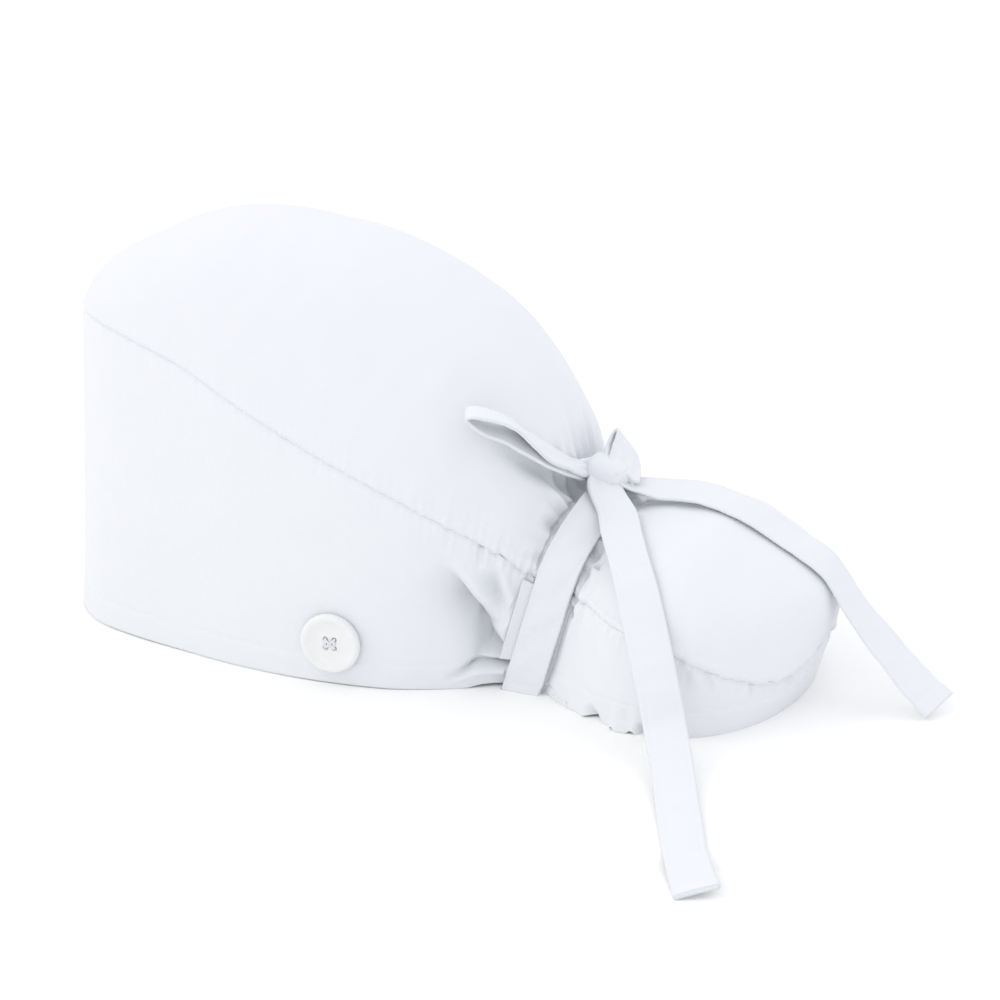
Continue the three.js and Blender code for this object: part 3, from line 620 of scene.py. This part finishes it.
def patch_object(name, rows, climbs, side, lift, thickness, crown, waver, flap=0.0):
    """A flat strip lying on the cap between the given rows and climbs, lifted off it by lift. crown
    bows it across and waver makes it uneven. flap is how high its turned-up lower end stands."""
    row, climb = np.meshgrid(rows, climbs, indexing="ij")
    if side < 0:
        row, climb = row[::-1], climb[::-1]
    points = cap_point(row, climb, side)
    normals = grid_normals(points, False)
    normals[..., 2] *= np.minimum(climb * 4, 1)
    across = (row - row.min()) / (row.max() - row.min()) * 2 - 1
    bow = crown * (1 - across ** 2) + waver * drift(points, 16, 8) + 0.5 * waver * drift(points, 6, 9)
    lower = points + normals * (lift + np.maximum(bow, -0.2))[..., None]
    turned_up = flap * smoothstep((0.078 - 0.012 * across - climb) / 0.012)
    upper = lower + normals * (thickness + turned_up)[..., None]
    steps = np.linalg.norm(np.diff(points, axis=1), axis=-1).mean(0)
    travel = np.concatenate([[0], np.cumsum(steps)])
    steps = np.linalg.norm(np.diff(points, axis=0), axis=-1).mean(1)
    widths = np.concatenate([[0], np.cumsum(steps)])
    lengths = np.stack(np.broadcast_arrays(travel[None, :], widths[:, None]), -1)
    return cloth_object(name, upper, lower, False, lengths), sheet_area(points), travel[-1] / 1000


def stitch_row_group():
    """A row of machine stitches sunk in a shallow groove, one inset from each long edge."""
    group, source, sink = node_group(
        "stitch_row",
        [("Along", "NodeSocketFloat", 0.0), ("Across", "NodeSocketFloat", 0.0),
         ("Width", "NodeSocketFloat", 0.014), ("Inset", "NodeSocketFloat", 0.0016),
         ("Pitch", "NodeSocketFloat", 0.0026)],
        [("Height", "NodeSocketFloat")])
    half = math_node(group, "MULTIPLY", source.outputs["Width"], 0.5)
    middle = math_node(group, "SUBTRACT", source.outputs["Across"], half)
    line = math_node(group, "SUBTRACT", half, source.outputs["Inset"])
    past = math_node(group, "SUBTRACT", math_node(group, "ABSOLUTE", middle), line)
    gap = math_node(group, "DIVIDE", math_node(group, "ABSOLUTE", past), 0.0006)
    groove = math_node(group, "MAXIMUM", math_node(group, "SUBTRACT", 1.0, gap), 0.0)
    turns = math_node(group, "DIVIDE", source.outputs["Along"], source.outputs["Pitch"])
    wave = math_node(group, "SINE", math_node(group, "MULTIPLY", turns, 2 * math.pi))
    thread = math_node(group, "MAXIMUM", wave, 0.0)
    height = math_node(group, "SUBTRACT", math_node(group, "MULTIPLY", thread, 0.7), 1.0)
    feed(group, sink, {"Height": math_node(group, "MULTIPLY", groove, height)})
    return group


STITCH_ROW = stitch_row_group()
TIE_WHITE = (0.813, 0.825, 0.842)
TIE_SHADE = (0.773, 0.788, 0.818)


def stitched_cloth(name, width, inset):
    """Pressed tie cloth with a row of small machine stitches near each long edge."""
    material = cotton_material(name, TIE_WHITE, TIE_SHADE, 0.00005, 0.0004)
    tree = material.node_tree
    place = shader_node(tree, "UVMap", {}, uv_map="cloth").outputs[0]
    split = shader_node(tree, "SeparateXYZ", {0: place})
    stitches = shader_node(tree, "Group", {
        "Width": width / 1000, "Inset": inset / 1000,
        "Along": split.outputs[0], "Across": split.outputs[1]}, node_tree=STITCH_ROW)
    cloth = tree.nodes["Principled BSDF"]
    before = cloth.inputs["Normal"].links[0].from_socket
    bump = shader_node(
        tree, "Bump",
        {"Height": stitches.outputs["Height"], "Distance": 0.00012, "Strength": 0.6, "Normal": before})
    feed(tree, cloth, {"Normal": bump.outputs[0]})
    return material


CASING_CLOTH = stitched_cloth("casing_cloth", CASING_WIDTH, 1.4)
for node, side in (("casing_near", 1), ("casing_far", -1)):
    rows, climbs = np.linspace(CASING_FRONT_ROW, NECK_ROW, 26), np.linspace(*CASING_CLIMBS, 60)
    casing, casing_area, casing_length = patch_object(
        "elastic_" + node, rows, climbs, side, CASING_LIFT, CASING_THICKNESS, crown=0.15, waver=0.12)
    casing.data.materials.append(CASING_CLOTH)
    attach(casing, "root")
    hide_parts(node)

# Neck straps: the stretch of each tie that is pulled round the neck, a flat folded strip stitched
# along both edges, from the rim up to the knot. Its lower end is turned under and sewn down.
STRAP_WIDTH = 16.2
STRAP_THICKNESS = 1.5
STRAP_LIFT = 1.4
STRAP_TOP_CLIMB = 1.9
STRAP_CLOTH = stitched_cloth("strap_cloth", STRAP_WIDTH, 1.6)
for node, side in (("strap_near", 1), ("strap_far", -1)):
    rows, climbs = np.linspace(NECK_ROW - 1, NECK_ROW + 1, 44), np.linspace(0, STRAP_TOP_CLIMB, 260)
    strap, strap_area, strap_length = patch_object(
        "neck_" + node, rows, climbs, side, STRAP_LIFT, STRAP_THICKNESS, crown=0.35, waver=0.25, flap=1.1)
    strap.data.materials.append(STRAP_CLOTH)
    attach(strap, "root")
    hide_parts(node)

# Knot: one wrap of the tie, as wide as the tie, pulled tight over the crushed core of the bow, with
# the edges of the wrap standing a little over the loops' roots.
KNOT_PLACE = KNOT_CENTRE + np.array([0.4, -2.4, -0.1])
KNOT_HALF = np.array([6.9, 8.6, 5.3])
KNOT_TILT = -math.atan(0.29)
WRAP_SHARE = 0.80
WRAP_STEP = 0.45


def knot_grid(around, steps):
    """Points of the knot: u goes round the wrap, v along its axis from front to rear. Its ends are
    blunt, the wrap stands a step over them, and three shallow folds run across it."""
    turns = np.linspace(0, 2 * math.pi, around, endpoint=False)
    u, v = np.meshgrid(turns, np.linspace(-0.995, 0.995, steps), indexing="ij")
    end = np.where(v < 0, (1 - np.abs(v) ** 3.2) ** (1 / 2.6), (1 - np.abs(v) ** 2.3) ** (1 / 1.7))
    x, z = (np.sign(c) * np.abs(c) ** 0.86 for c in (np.cos(u), np.sin(u)))
    radius = end * (1 - 0.05 * np.cos(v * 2.6))
    points = np.stack([x * radius * KNOT_HALF[0], v * KNOT_HALF[1], z * radius * KNOT_HALF[2]], -1)
    wrap = smoothstep((WRAP_SHARE - np.abs(v + 0.05 * np.sin(u + 0.6))) / 0.05)
    folds = WRAP_STEP * (wrap - 1)
    rear_fold, front_fold = v - 0.30 + 0.22 * np.sin(u - 0.4), v + 0.28 - 0.20 * np.sin(u + 0.3)
    folds -= 0.12 * np.exp(-(rear_fold / 0.07) ** 2) * (0.5 + 0.5 * np.cos(u - 0.9))
    folds -= 0.14 * np.exp(-(front_fold / 0.09) ** 2) * (0.5 + 0.5 * np.cos(u - 2.0))
    folds -= 1.0 * np.exp(-((v - 0.56) / 0.10) ** 2 - ((u - 0.35) / 0.30) ** 2)
    folds += 0.16 * drift(points, 8, 21) + 0.04 * drift(points, 2.6, 22)
    points = points + unit(points * [1, 0.15, 1]) * (folds * end)[..., None]
    c, d = math.cos(KNOT_TILT), math.sin(KNOT_TILT)
    return points @ np.array([[1, 0, 0], [0, c, -d], [0, d, c]]).T + KNOT_PLACE


def round_object(name, grid, lengths):
    """A closed piece from a grid that joins itself round, capped at both ends. lengths are its flat
    size round and along, in millimetres."""
    around, steps = grid.shape[:2]
    i, k = (a.ravel() for a in np.meshgrid(np.arange(around), np.arange(steps - 1), indexing="ij"))
    ring, rung = np.stack([i, i + 1, i + 1, i], 1), np.stack([k, k, k + 1, k + 1], 1)
    faces = ((ring % around) * steps + rung).tolist()
    faces.append([j * steps for j in range(around)])
    faces.append([j * steps + steps - 1 for j in range(around)][::-1])
    uv = np.stack([ring * lengths[0] / around, rung * lengths[1] / steps], -1).reshape(-1, 2)
    return mesh_object(name, grid, faces, np.vstack([uv, np.zeros((2 * around, 2))]))


KNOT_CLOTH = cotton_material("knot_cloth", TIE_WHITE, TIE_SHADE, 0.00006, 0.0005)
knot = round_object("bow_knot", knot_grid(150, 110), (38, 18))
knot.data.materials.append(KNOT_CLOTH)
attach(knot, "root")
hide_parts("knot")

# Bow loops: the tie folded back on itself into two loops, pressed flat at their tips and pleated
# where the knot holds them. The front one lies open over the crown, the other stands behind.
TIE_WIDTH = 14.2
TIE_THICKNESS = 1.3
TIE_STEP = 0.55
TIE_CLOTH = stitched_cloth("tie_cloth", TIE_WIDTH, 1.5)


def direction(azimuth, elevation):
    """A direction from two angles in degrees: 0 points to the near side and 90 to the rear."""
    a, e = math.radians(azimuth), math.radians(elevation)
    return np.array([math.cos(a) * math.cos(e), math.sin(a) * math.cos(e), math.sin(e)])


def outside(row, climb, side, distance):
    """A place at a distance outside the smooth cap."""
    step = 0.02
    down = cap_point(row + step, climb, side) - cap_point(row - step, climb, side)
    across = cap_point(row, climb + step, side) - cap_point(row, climb - step, side)
    return cap_point(row, climb, side) + unit(np.cross(down, across) * side) * distance


def smooth_line(stations, count):
    """A smooth line of evenly spaced points through stations, where on the list each lies, and the
    line's length."""
    padded = extended(stations)
    knots = np.concatenate([[0], np.cumsum(np.linalg.norm(np.diff(padded, axis=0), axis=1) ** 0.5)])
    fine, places = [], []
    for k in range(len(stations) - 1):
        p0, p1, p2, p3 = padded[k:k + 4]
        t0, t1, t2, t3 = knots[k:k + 4]
        t = np.linspace(t1, t2, 60, endpoint=k == len(stations) - 2)[:, None]
        a1 = (t1 - t) / (t1 - t0) * p0 + (t - t0) / (t1 - t0) * p1
        a2 = (t2 - t) / (t2 - t1) * p1 + (t - t1) / (t2 - t1) * p2
        a3 = (t3 - t) / (t3 - t2) * p2 + (t - t2) / (t3 - t2) * p3
        b1 = (t2 - t) / (t2 - t0) * a1 + (t - t0) / (t2 - t0) * a2
        b2 = (t3 - t) / (t3 - t1) * a2 + (t - t1) / (t3 - t1) * a3
        fine.append((t2 - t) / (t2 - t1) * b1 + (t - t1) / (t2 - t1) * b2)
        places.append(k + (t[:, 0] - t1) / (t2 - t1))
    fine, places = np.vstack(fine), np.concatenate(places)
    travel = travelled(fine)
    even = np.linspace(0, travel[-1], count)
    line = np.stack([np.interp(even, travel, fine[:, k]) for k in range(3)], 1)
    return line, np.interp(even, travel, places), travel[-1]


def eased(place, values):
    """Values at the stations, eased between them."""
    low = np.minimum(place.astype(int), len(values) - 2)
    f = smoothstep(place - low)
    values = np.asarray(values, float)
    if values.ndim == 2:
        f = f[:, None]
    return values[low] * (1 - f) + values[low + 1] * f


def ribbon_object(name, stations, seed, waver, pleats, cup=0.0, hem_end=0.0, square=True):
    """A flat folded tie, and its length. Each station gives a place on its line, the direction of
    its width, and the share of its width. cup bows it across, waver makes it uneven, hem_end is
    the depth of its sewn end, and pleats the height of the pleats at its two ends, all in
    millimetres. square keeps the width square to the line, as on a tie that lies flat."""
    places, facings, scales = zip(*stations)
    count = int(travelled(places)[-1] / TIE_STEP)
    line, place, length = smooth_line(places, count)
    facing, scale = eased(place, facings), eased(place, scales)
    tangent = unit(np.gradient(line, axis=0))
    if square:
        facing -= tangent * (facing * tangent).sum(1, keepdims=True)
    facing = unit(facing)
    normal = unit(np.cross(tangent, facing))
    across = np.linspace(-1, 1, 27)
    travel = np.linspace(0, length, len(line))
    wander = waver * (drift(line, 26, seed) + drift(line, 11, seed + 1))
    rise = cup * (1 - across ** 2) + wander[:, None] * np.sin(across * 1.7 + travel[:, None] / 13)
    for height, away in zip(pleats, (travel, length - travel)):
        rise = rise + height * np.exp(-(away / 9.0) ** 2)[:, None] * np.cos(across * 8.5 + 0.7)
    width = scale * TIE_WIDTH / 2 * (1 + 0.012 * np.sin(travel / 7.3 + seed))
    middle = line[:, None] + facing[:, None] * (width[:, None, None] * across[None, :, None])
    middle = middle + normal[:, None] * rise[..., None]
    half = np.full((len(line), len(across)), TIE_THICKNESS / 2)
    half -= 0.06 * np.exp(-((np.abs(across) - 0.79) / 0.06) ** 2)
    if hem_end:
        half += 0.35 * smoothstep((travel - length + hem_end) / 0.8)[:, None]
    upper = middle + normal[:, None] * half[..., None]
    lower = middle - normal[:, None] * half[..., None]
    lengths = np.stack(np.broadcast_arrays(travel[:, None], (across[None] + 1) / 2 * TIE_WIDTH), -1)
    ribbon = cloth_object(name, upper, lower, False, lengths)
    ribbon.data.materials.append(TIE_CLOTH)
    return ribbon, length


# Near edge of the front loop, from the knot out along its upper strand and back along its lower
# one: millimetres from the knot's middle, elevation of the width, and share of the full width.
FRONT_LOOP = [
    (0.0, -6.0, -1.8, -78, 0.46), (4.4, -8.0, -1.6, -66, 0.48), (8.4, -8.9, -0.2, -46, 0.48),
    (15.6, -9.4, 3.4, -18, 0.50), (23.2, -9.6, 7.8, 2, 0.58), (36.0, -12.1, 15.3, 13, 0.80),
    (41.2, -14.7, 20.9, 15, 0.92), (44.6, -17.3, 25.6, 15, 0.96), (46.8, -19.3, 28.6, 13, 0.94),
    (49.5, -22.5, 31.4, 9, 0.90), (51.5, -25.9, 33.0, 5, 0.86), (53.5, -30.1, 34.1, 1, 0.80),
    (54.5, -33.7, 34.4, -1, 0.76), (54.6, -36.1, 33.7, -2, 0.74), (53.6, -36.4, 32.4, -3, 0.76),
    (52.6, -34.4, 30.1, -4, 0.82), (51.7, -31.7, 27.9, -6, 0.88), (50.4, -29.1, 26.2, -10, 0.92),
    (47.4, -24.5, 23.8, -14, 0.96), (44.0, -20.1, 20.1, -16, 0.98), (39.8, -16.0, 16.1, -18, 0.96),
    (35.4, -13.4, 12.4, -20, 0.9), (27.0, -11.4, 7.4, -26, 0.74), (15.4, -10.4, 1.6, -38, 0.56),
    (4.4, -9.4, -3.0, -52, 0.50), (0.0, -6.0, -3.2, -58, 0.48)]
FRONT_LOOP_AZIMUTH = 22
# Rear loop, from the knot to its tip and back: share of its reach, and half the gap between its
# strands, in millimetres. Its width turns from the wrap's own direction to a steep one.
REAR_LOOP_ROOT = np.array([1.8, 2.9, 0.0])
REAR_LOOP_TIP = np.array([-17.4, -2.6, 6.0])
REAR_LOOP_WIDTHS = direction(96, -30), direction(157, -51)
REAR_LOOP_GAP = np.array([0.095, 0.948, 0.228])
REAR_LOOP = [(0.00, 0.8), (0.20, 1.2), (0.45, 1.5), (0.75, 1.4), (0.93, 0.9), (1.00, 0.0)]
front_loop, rear_loop = [], []
for *near_edge, elevation, scale in FRONT_LOOP:
    width = direction(FRONT_LOOP_AZIMUTH, elevation)
    front_loop.append((KNOT_CENTRE + near_edge - width * scale * TIE_WIDTH / 2, width, scale))
for turn in (1, -1):
    for reach, gap in REAR_LOOP[::turn][turn < 0:]:
        place = REAR_LOOP_ROOT * (1 - reach) + REAR_LOOP_TIP * reach + REAR_LOOP_GAP * gap * turn
        width = REAR_LOOP_WIDTHS[0] * (1 - reach) + REAR_LOOP_WIDTHS[1] * reach
        rear_loop.append((KNOT_CENTRE + place, unit(width), 0.92 + 0.08 * reach))
for name, node, stations, seed in (
        ("bow_loop_front", "bow_loop_left", front_loop, 31),
        ("bow_loop_back", "bow_loop_right", rear_loop, 37)):
    loop, length = ribbon_object(name, stations, seed, waver=0.12, pleats=(0.4, 0.4), square=False)
    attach(loop, "root")
    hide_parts(node)

# Tie tails: the two free ends of the tie. One comes from under the wrap and falls over the pouch's
# near flank to the surface, the other slopes down behind the pouch. Both end in a sewn hem.
SIDE_TAIL_REACH = 124  # millimetres on the surface, along its heading
SIDE_TAIL_HEADING = direction(24, 0)
SIDE_TAIL_LEFT = direction(114, 0)
side_tail = [
    (KNOT_CENTRE + np.array([1.0, -1.8, -0.6]), direction(112, -10), 0.86),
    (KNOT_CENTRE + np.array([7.6, -0.9, -3.4]), direction(110, -12), 0.93)]
for row, climb, out, turned in (
        (15.0, 1.72, 0.48, 104), (16.2, 1.58, 0.44, 101), (17.3, 1.34, 0.36, 100), (18.0, 1.06, 0.34, 100)):
    side_tail.append((outside(row, climb, 1, out * TIE_WIDTH), direction(turned, -10), 1.0))
side_foot = cap_point(18.8, 0.0, 1)
for away, aside, height, roll in (
        (0.106, -0.037, 0.205, 0), (0.170, -0.020, 0.112, 0), (0.310, -0.009, 0.046, 0),
        (0.460, -0.008, 0.020, 0), (0.640, -0.010, 0.010, 2), (0.740, -0.012, 0.012, 4),
        (0.815, -0.013, 0.032, 6), (0.880, -0.009, 0.022, 9), (1.000, 0.000, 0.021, 13)):
    place = side_foot + (SIDE_TAIL_HEADING * away + SIDE_TAIL_LEFT * aside) * SIDE_TAIL_REACH
    place[2] = height * SIDE_TAIL_REACH
    side_tail.append((place, direction(114, roll), 1.0))
REAR_TAIL_DROP = 46
facing, end_facing = np.array([1, 0, -0.18]), np.array([1, -0.3, -0.55])
rear_tail = [
    (KNOT_CENTRE + np.array([-0.6, 1.6, -2.2]), np.array([1, 0, 0]), 0.7),
    (KNOT_CENTRE + np.array([-1.4, 8.0, -4.6]), np.array([1, 0, 0]), 0.85),
    (KNOT_CENTRE + np.array([-3.2, 13.0, -5.5]), np.array([1, 0, -0.12]), 0.96)]
for row, out in ((16.3, 0.34), (17.4, 0.28), (18.4, 0.20), (19.4, 0.18), (20.6, 0.22)):
    rear_tail.append((outside(row, 1.95, -1, out * TIE_WIDTH), facing, 1.0))
brink = rear_tail[-1][0]
for back, height, turned in ((0.26, 0.70, 0.2), (0.56, 0.42, 0.5), (0.80, 0.22, 0.8), (1.00, 0.080, 1.0)):
    place = brink + np.array([8 * turned, back * REAR_TAIL_DROP, 0])
    place[2] = height * brink[2]
    rear_tail.append((place, facing * (1 - turned) + end_facing * turned, 1.0))
for name, node, stations, seed in (
        ("tie_tail_side", "tail_side", side_tail, 41), ("tie_tail_rear", "tail_rear", rear_tail, 47)):
    tail, length = ribbon_object(name, stations, seed, waver=0.18, pleats=(0.35, 0), cup=0.25, hem_end=6.0)
    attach(tail, "root")
    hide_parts(node)

# Buttons: a pearly white four-hole button of moulded plastic on each side of the band, sewn through
# the cloth with a cross and two bars of white thread.
BUTTON_ROW = 7.28
BUTTON_HEIGHT = 17.0
HOLE_RADIUS = 0.85
HOLE_DEPTH = 1.1
# Half of the space between two holes.
HOLE_OUT = 1.7
THREAD_RADIUS = 0.27
# Radius and height of the button, from the middle of its face round its edge to its back.
BUTTON_PROFILE = [
    (0.0, 2.3), (4.8, 2.3), (6.2, 2.45), (7.6, 2.75), (8.8, 3.2), (9.6, 3.38), (10.4, 3.36), (11.05, 3.0),
    (11.4, 2.4), (11.5, 1.6), (11.35, 0.8), (10.9, 0.3), (10.2, 0.0), (5.0, 0.0), (0.0, 0.0)]


def button_grid():
    """Rings of the button from the middle of its face, round its edge, to the middle of its back."""
    profile = np.array(BUTTON_PROFILE)
    travel = travelled(profile)
    even = np.linspace(0.02, travel[-1] - 0.02, 150)
    radius, height = (np.interp(even, travel, column) for column in profile.T)
    for curve in (radius, height):
        curve[2:-2] = np.convolve(curve, np.ones(5) / 5, "valid")
    turn = np.linspace(0, 2 * math.pi, 193)[:-1, None]
    grid = np.stack(np.broadcast_arrays(radius * np.cos(turn), radius * np.sin(turn), height), -1)
    front = np.arange(len(radius)) < 40
    for x in (-HOLE_OUT, HOLE_OUT):
        for y in (-HOLE_OUT, HOLE_OUT):
            gap = np.hypot(grid[..., 0] - x, grid[..., 1] - y)
            grid[..., 2] -= HOLE_DEPTH * (1 - smoothstep((gap - HOLE_RADIUS + 0.15) / 0.3)) * front
    return grid


BUTTON_PLASTIC = bpy.data.materials.new("button_plastic")
BUTTON_PLASTIC.use_nodes = True
tree = BUTTON_PLASTIC.node_tree
place = shader_node(tree, "TexCoord", {}).outputs["Object"]
cloud = shader_node(tree, "TexNoise", {"Vector": place, "Scale": 260.0, "Detail": 4.0}).outputs[0]
feed(tree, tree.nodes["Principled BSDF"], {
    "Base Color": between_colours(tree, cloud, (0.80, 0.81, 0.79), (0.86, 0.87, 0.85)),
    "Roughness": math_node(tree, "ADD", math_node(tree, "MULTIPLY", cloud, 0.14), 0.28),
    "Coat Weight": 0.15})
THREAD = cotton_material("sewing_thread", (0.82, 0.82, 0.83), (0.74, 0.74, 0.76), 0.00005, 0.0002, 0.0003)


def thread_object(name, stations, radius):
    """A short thread: a thin tube through its stations."""
    line, _, length = smooth_line(stations, 30)
    tangent = unit(np.gradient(line, axis=0))
    first = unit(np.cross(tangent, [0.3, 0.5, 0.81]))
    second = np.cross(tangent, first)
    turn = np.linspace(0, 2 * math.pi, 9)[:-1, None, None]
    grid = line[None] + radius * (np.cos(turn) * first + np.sin(turn) * second)
    thread = round_object(name, grid, (2 * math.pi * radius, length))
    thread.data.materials.append(THREAD)
    return thread


for node, side in (("button_near", 1), ("button_far", -1)):
    climb = BUTTON_HEIGHT / float(section_at(BUTTON_ROW)[2])
    seat, above = outside(BUTTON_ROW, climb, side, 0.3), outside(BUTTON_ROW, climb, side, 1.3)
    axis = Vector(above - seat).normalized()
    turned = np.array(axis.to_track_quat("Z", "Y").to_matrix())
    button = round_object(node + "_disc", button_grid() @ turned.T + seat, (72, 24))
    button.data.materials.append(BUTTON_PLASTIC)
    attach(button, "root")
    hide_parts(node)
    for k, (x0, y0, x1, y1) in enumerate(((-1, -1, 1, 1), (-1, 1, 1, -1), (-1, -1, -1, 1), (1, -1, 1, 1))):
        start, end = np.array([[x0, y0], [x1, y1]]) * HOLE_OUT
        # The first thread passes over the others, and each is doubled.
        lift = 2.62 + 0.16 * (k == 0)
        for letter, shift in (("a", -0.22), ("b", 0.22)):
            across = unit(np.array([end[1] - start[1], start[0] - end[0]])) * shift
            middle = (start + end) / 2
            stations = np.array([
                (*(place + across), height) for place, height in (
                    (start, 0.9), (start, lift - 0.12), (middle, lift), (end, lift - 0.12), (end, 0.9))])
            name = "%s_thread_%d%s" % (node, k, letter)
            stitch = thread_object(name, stations @ turned.T + seat, THREAD_RADIUS)
            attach(stitch, "root")

# Thread ends: loose ends of the overlocking thread, left where the elastic hem runs out from
# under the neck strap. They are cut short and curl a little. Each has its row, length and heading.
for number, (row, reach, turn) in enumerate(((15.3, 2.6, -30), (15.6, 3.8, 0), (15.95, 2.4, 35))):
    root = outside(row, 0.05, 1, -0.2)
    stray = direction(turn, -6) * reach
    stations = np.array([root, root + stray * 0.5 + [0, 0, 0.4], root + stray - [0, 0, 0.5]])
    thread_end = thread_object("thread_end_%d" % number, stations, 0.11)
    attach(thread_end, "root")

# Floor, light and camera: a white paper surface under a pale, cool light from all round, with three
# soft and warmer lights from above, seen from the near flank and a little from behind.
floor_mesh = bpy.data.meshes.new("floor")
floor_mesh.from_pydata([(-8, -8, 0), (8, -8, 0), (8, 8, 0), (-8, 8, 0)], [], [(0, 1, 2, 3)])
floor = bpy.data.objects.new("floor", floor_mesh)
bpy.context.collection.objects.link(floor)
floor_white = bpy.data.materials.new("floor_white")
floor_white.use_nodes = True
feed(floor_white.node_tree, floor_white.node_tree.nodes["Principled BSDF"], {
    "Base Color": (0.95, 0.95, 0.93, 1), "Roughness": 0.9, "Specular IOR Level": 0.1,
    "Emission Color": (1, 1, 1, 1), "Emission Strength": 0.03})
floor.data.materials.append(floor_white)


def soft_light(name, towards, spread, power):
    """Warm light from one side, as soft as from a box spread degrees wide."""
    light = bpy.data.lights.new(name, "SUN")
    light.angle = math.radians(spread)
    light.energy = power
    light.color = LAMP_COLOUR
    lamp = bpy.data.objects.new(name, light)
    lamp.rotation_euler = Vector(towards).to_track_quat("Z", "Y").to_euler()
    bpy.context.collection.objects.link(lamp)


LAMP_COLOUR = (1.0, 0.975, 0.78)
soft_light("key_light", (0.75, -1.9, 1.75), 30, 0.45)
soft_light("fill_light", (1.5, -0.2, 1.4), 50, 0.22)
soft_light("back_light", (-1.2, 0.6, 1.8), 60, 0.39)
world = bpy.data.worlds.new("studio")
world.use_nodes = True
sky = world.node_tree.nodes["Background"]
feed(world.node_tree, sky, {"Color": (0.905, 0.912, 1.0, 1), "Strength": 1.01})
bpy.context.scene.world = world
bpy.context.scene.view_settings.view_transform = "Standard"

# The camera looks from azimuth 112, 22 degrees behind the near flank, and from 21 degrees above.
CAMERA_DISTANCE = 1.3
CAMERA_AIM = Vector((CAD_SHIFT + np.array([7.67, 172.23, 60.0])) / 1000)
CAMERA_LENS = 126.36
back = Vector(direction(22, 21))
camera_data = bpy.data.cameras.new("camera")
camera_data.lens = CAMERA_LENS
camera_data.sensor_width = 36
camera = bpy.data.objects.new("camera", camera_data)
camera.location = CAMERA_AIM + back * CAMERA_DISTANCE
camera.rotation_euler = (-back).to_track_quat("-Z", "Y").to_euler()
bpy.context.collection.objects.link(camera)
bpy.context.scene.camera = camera
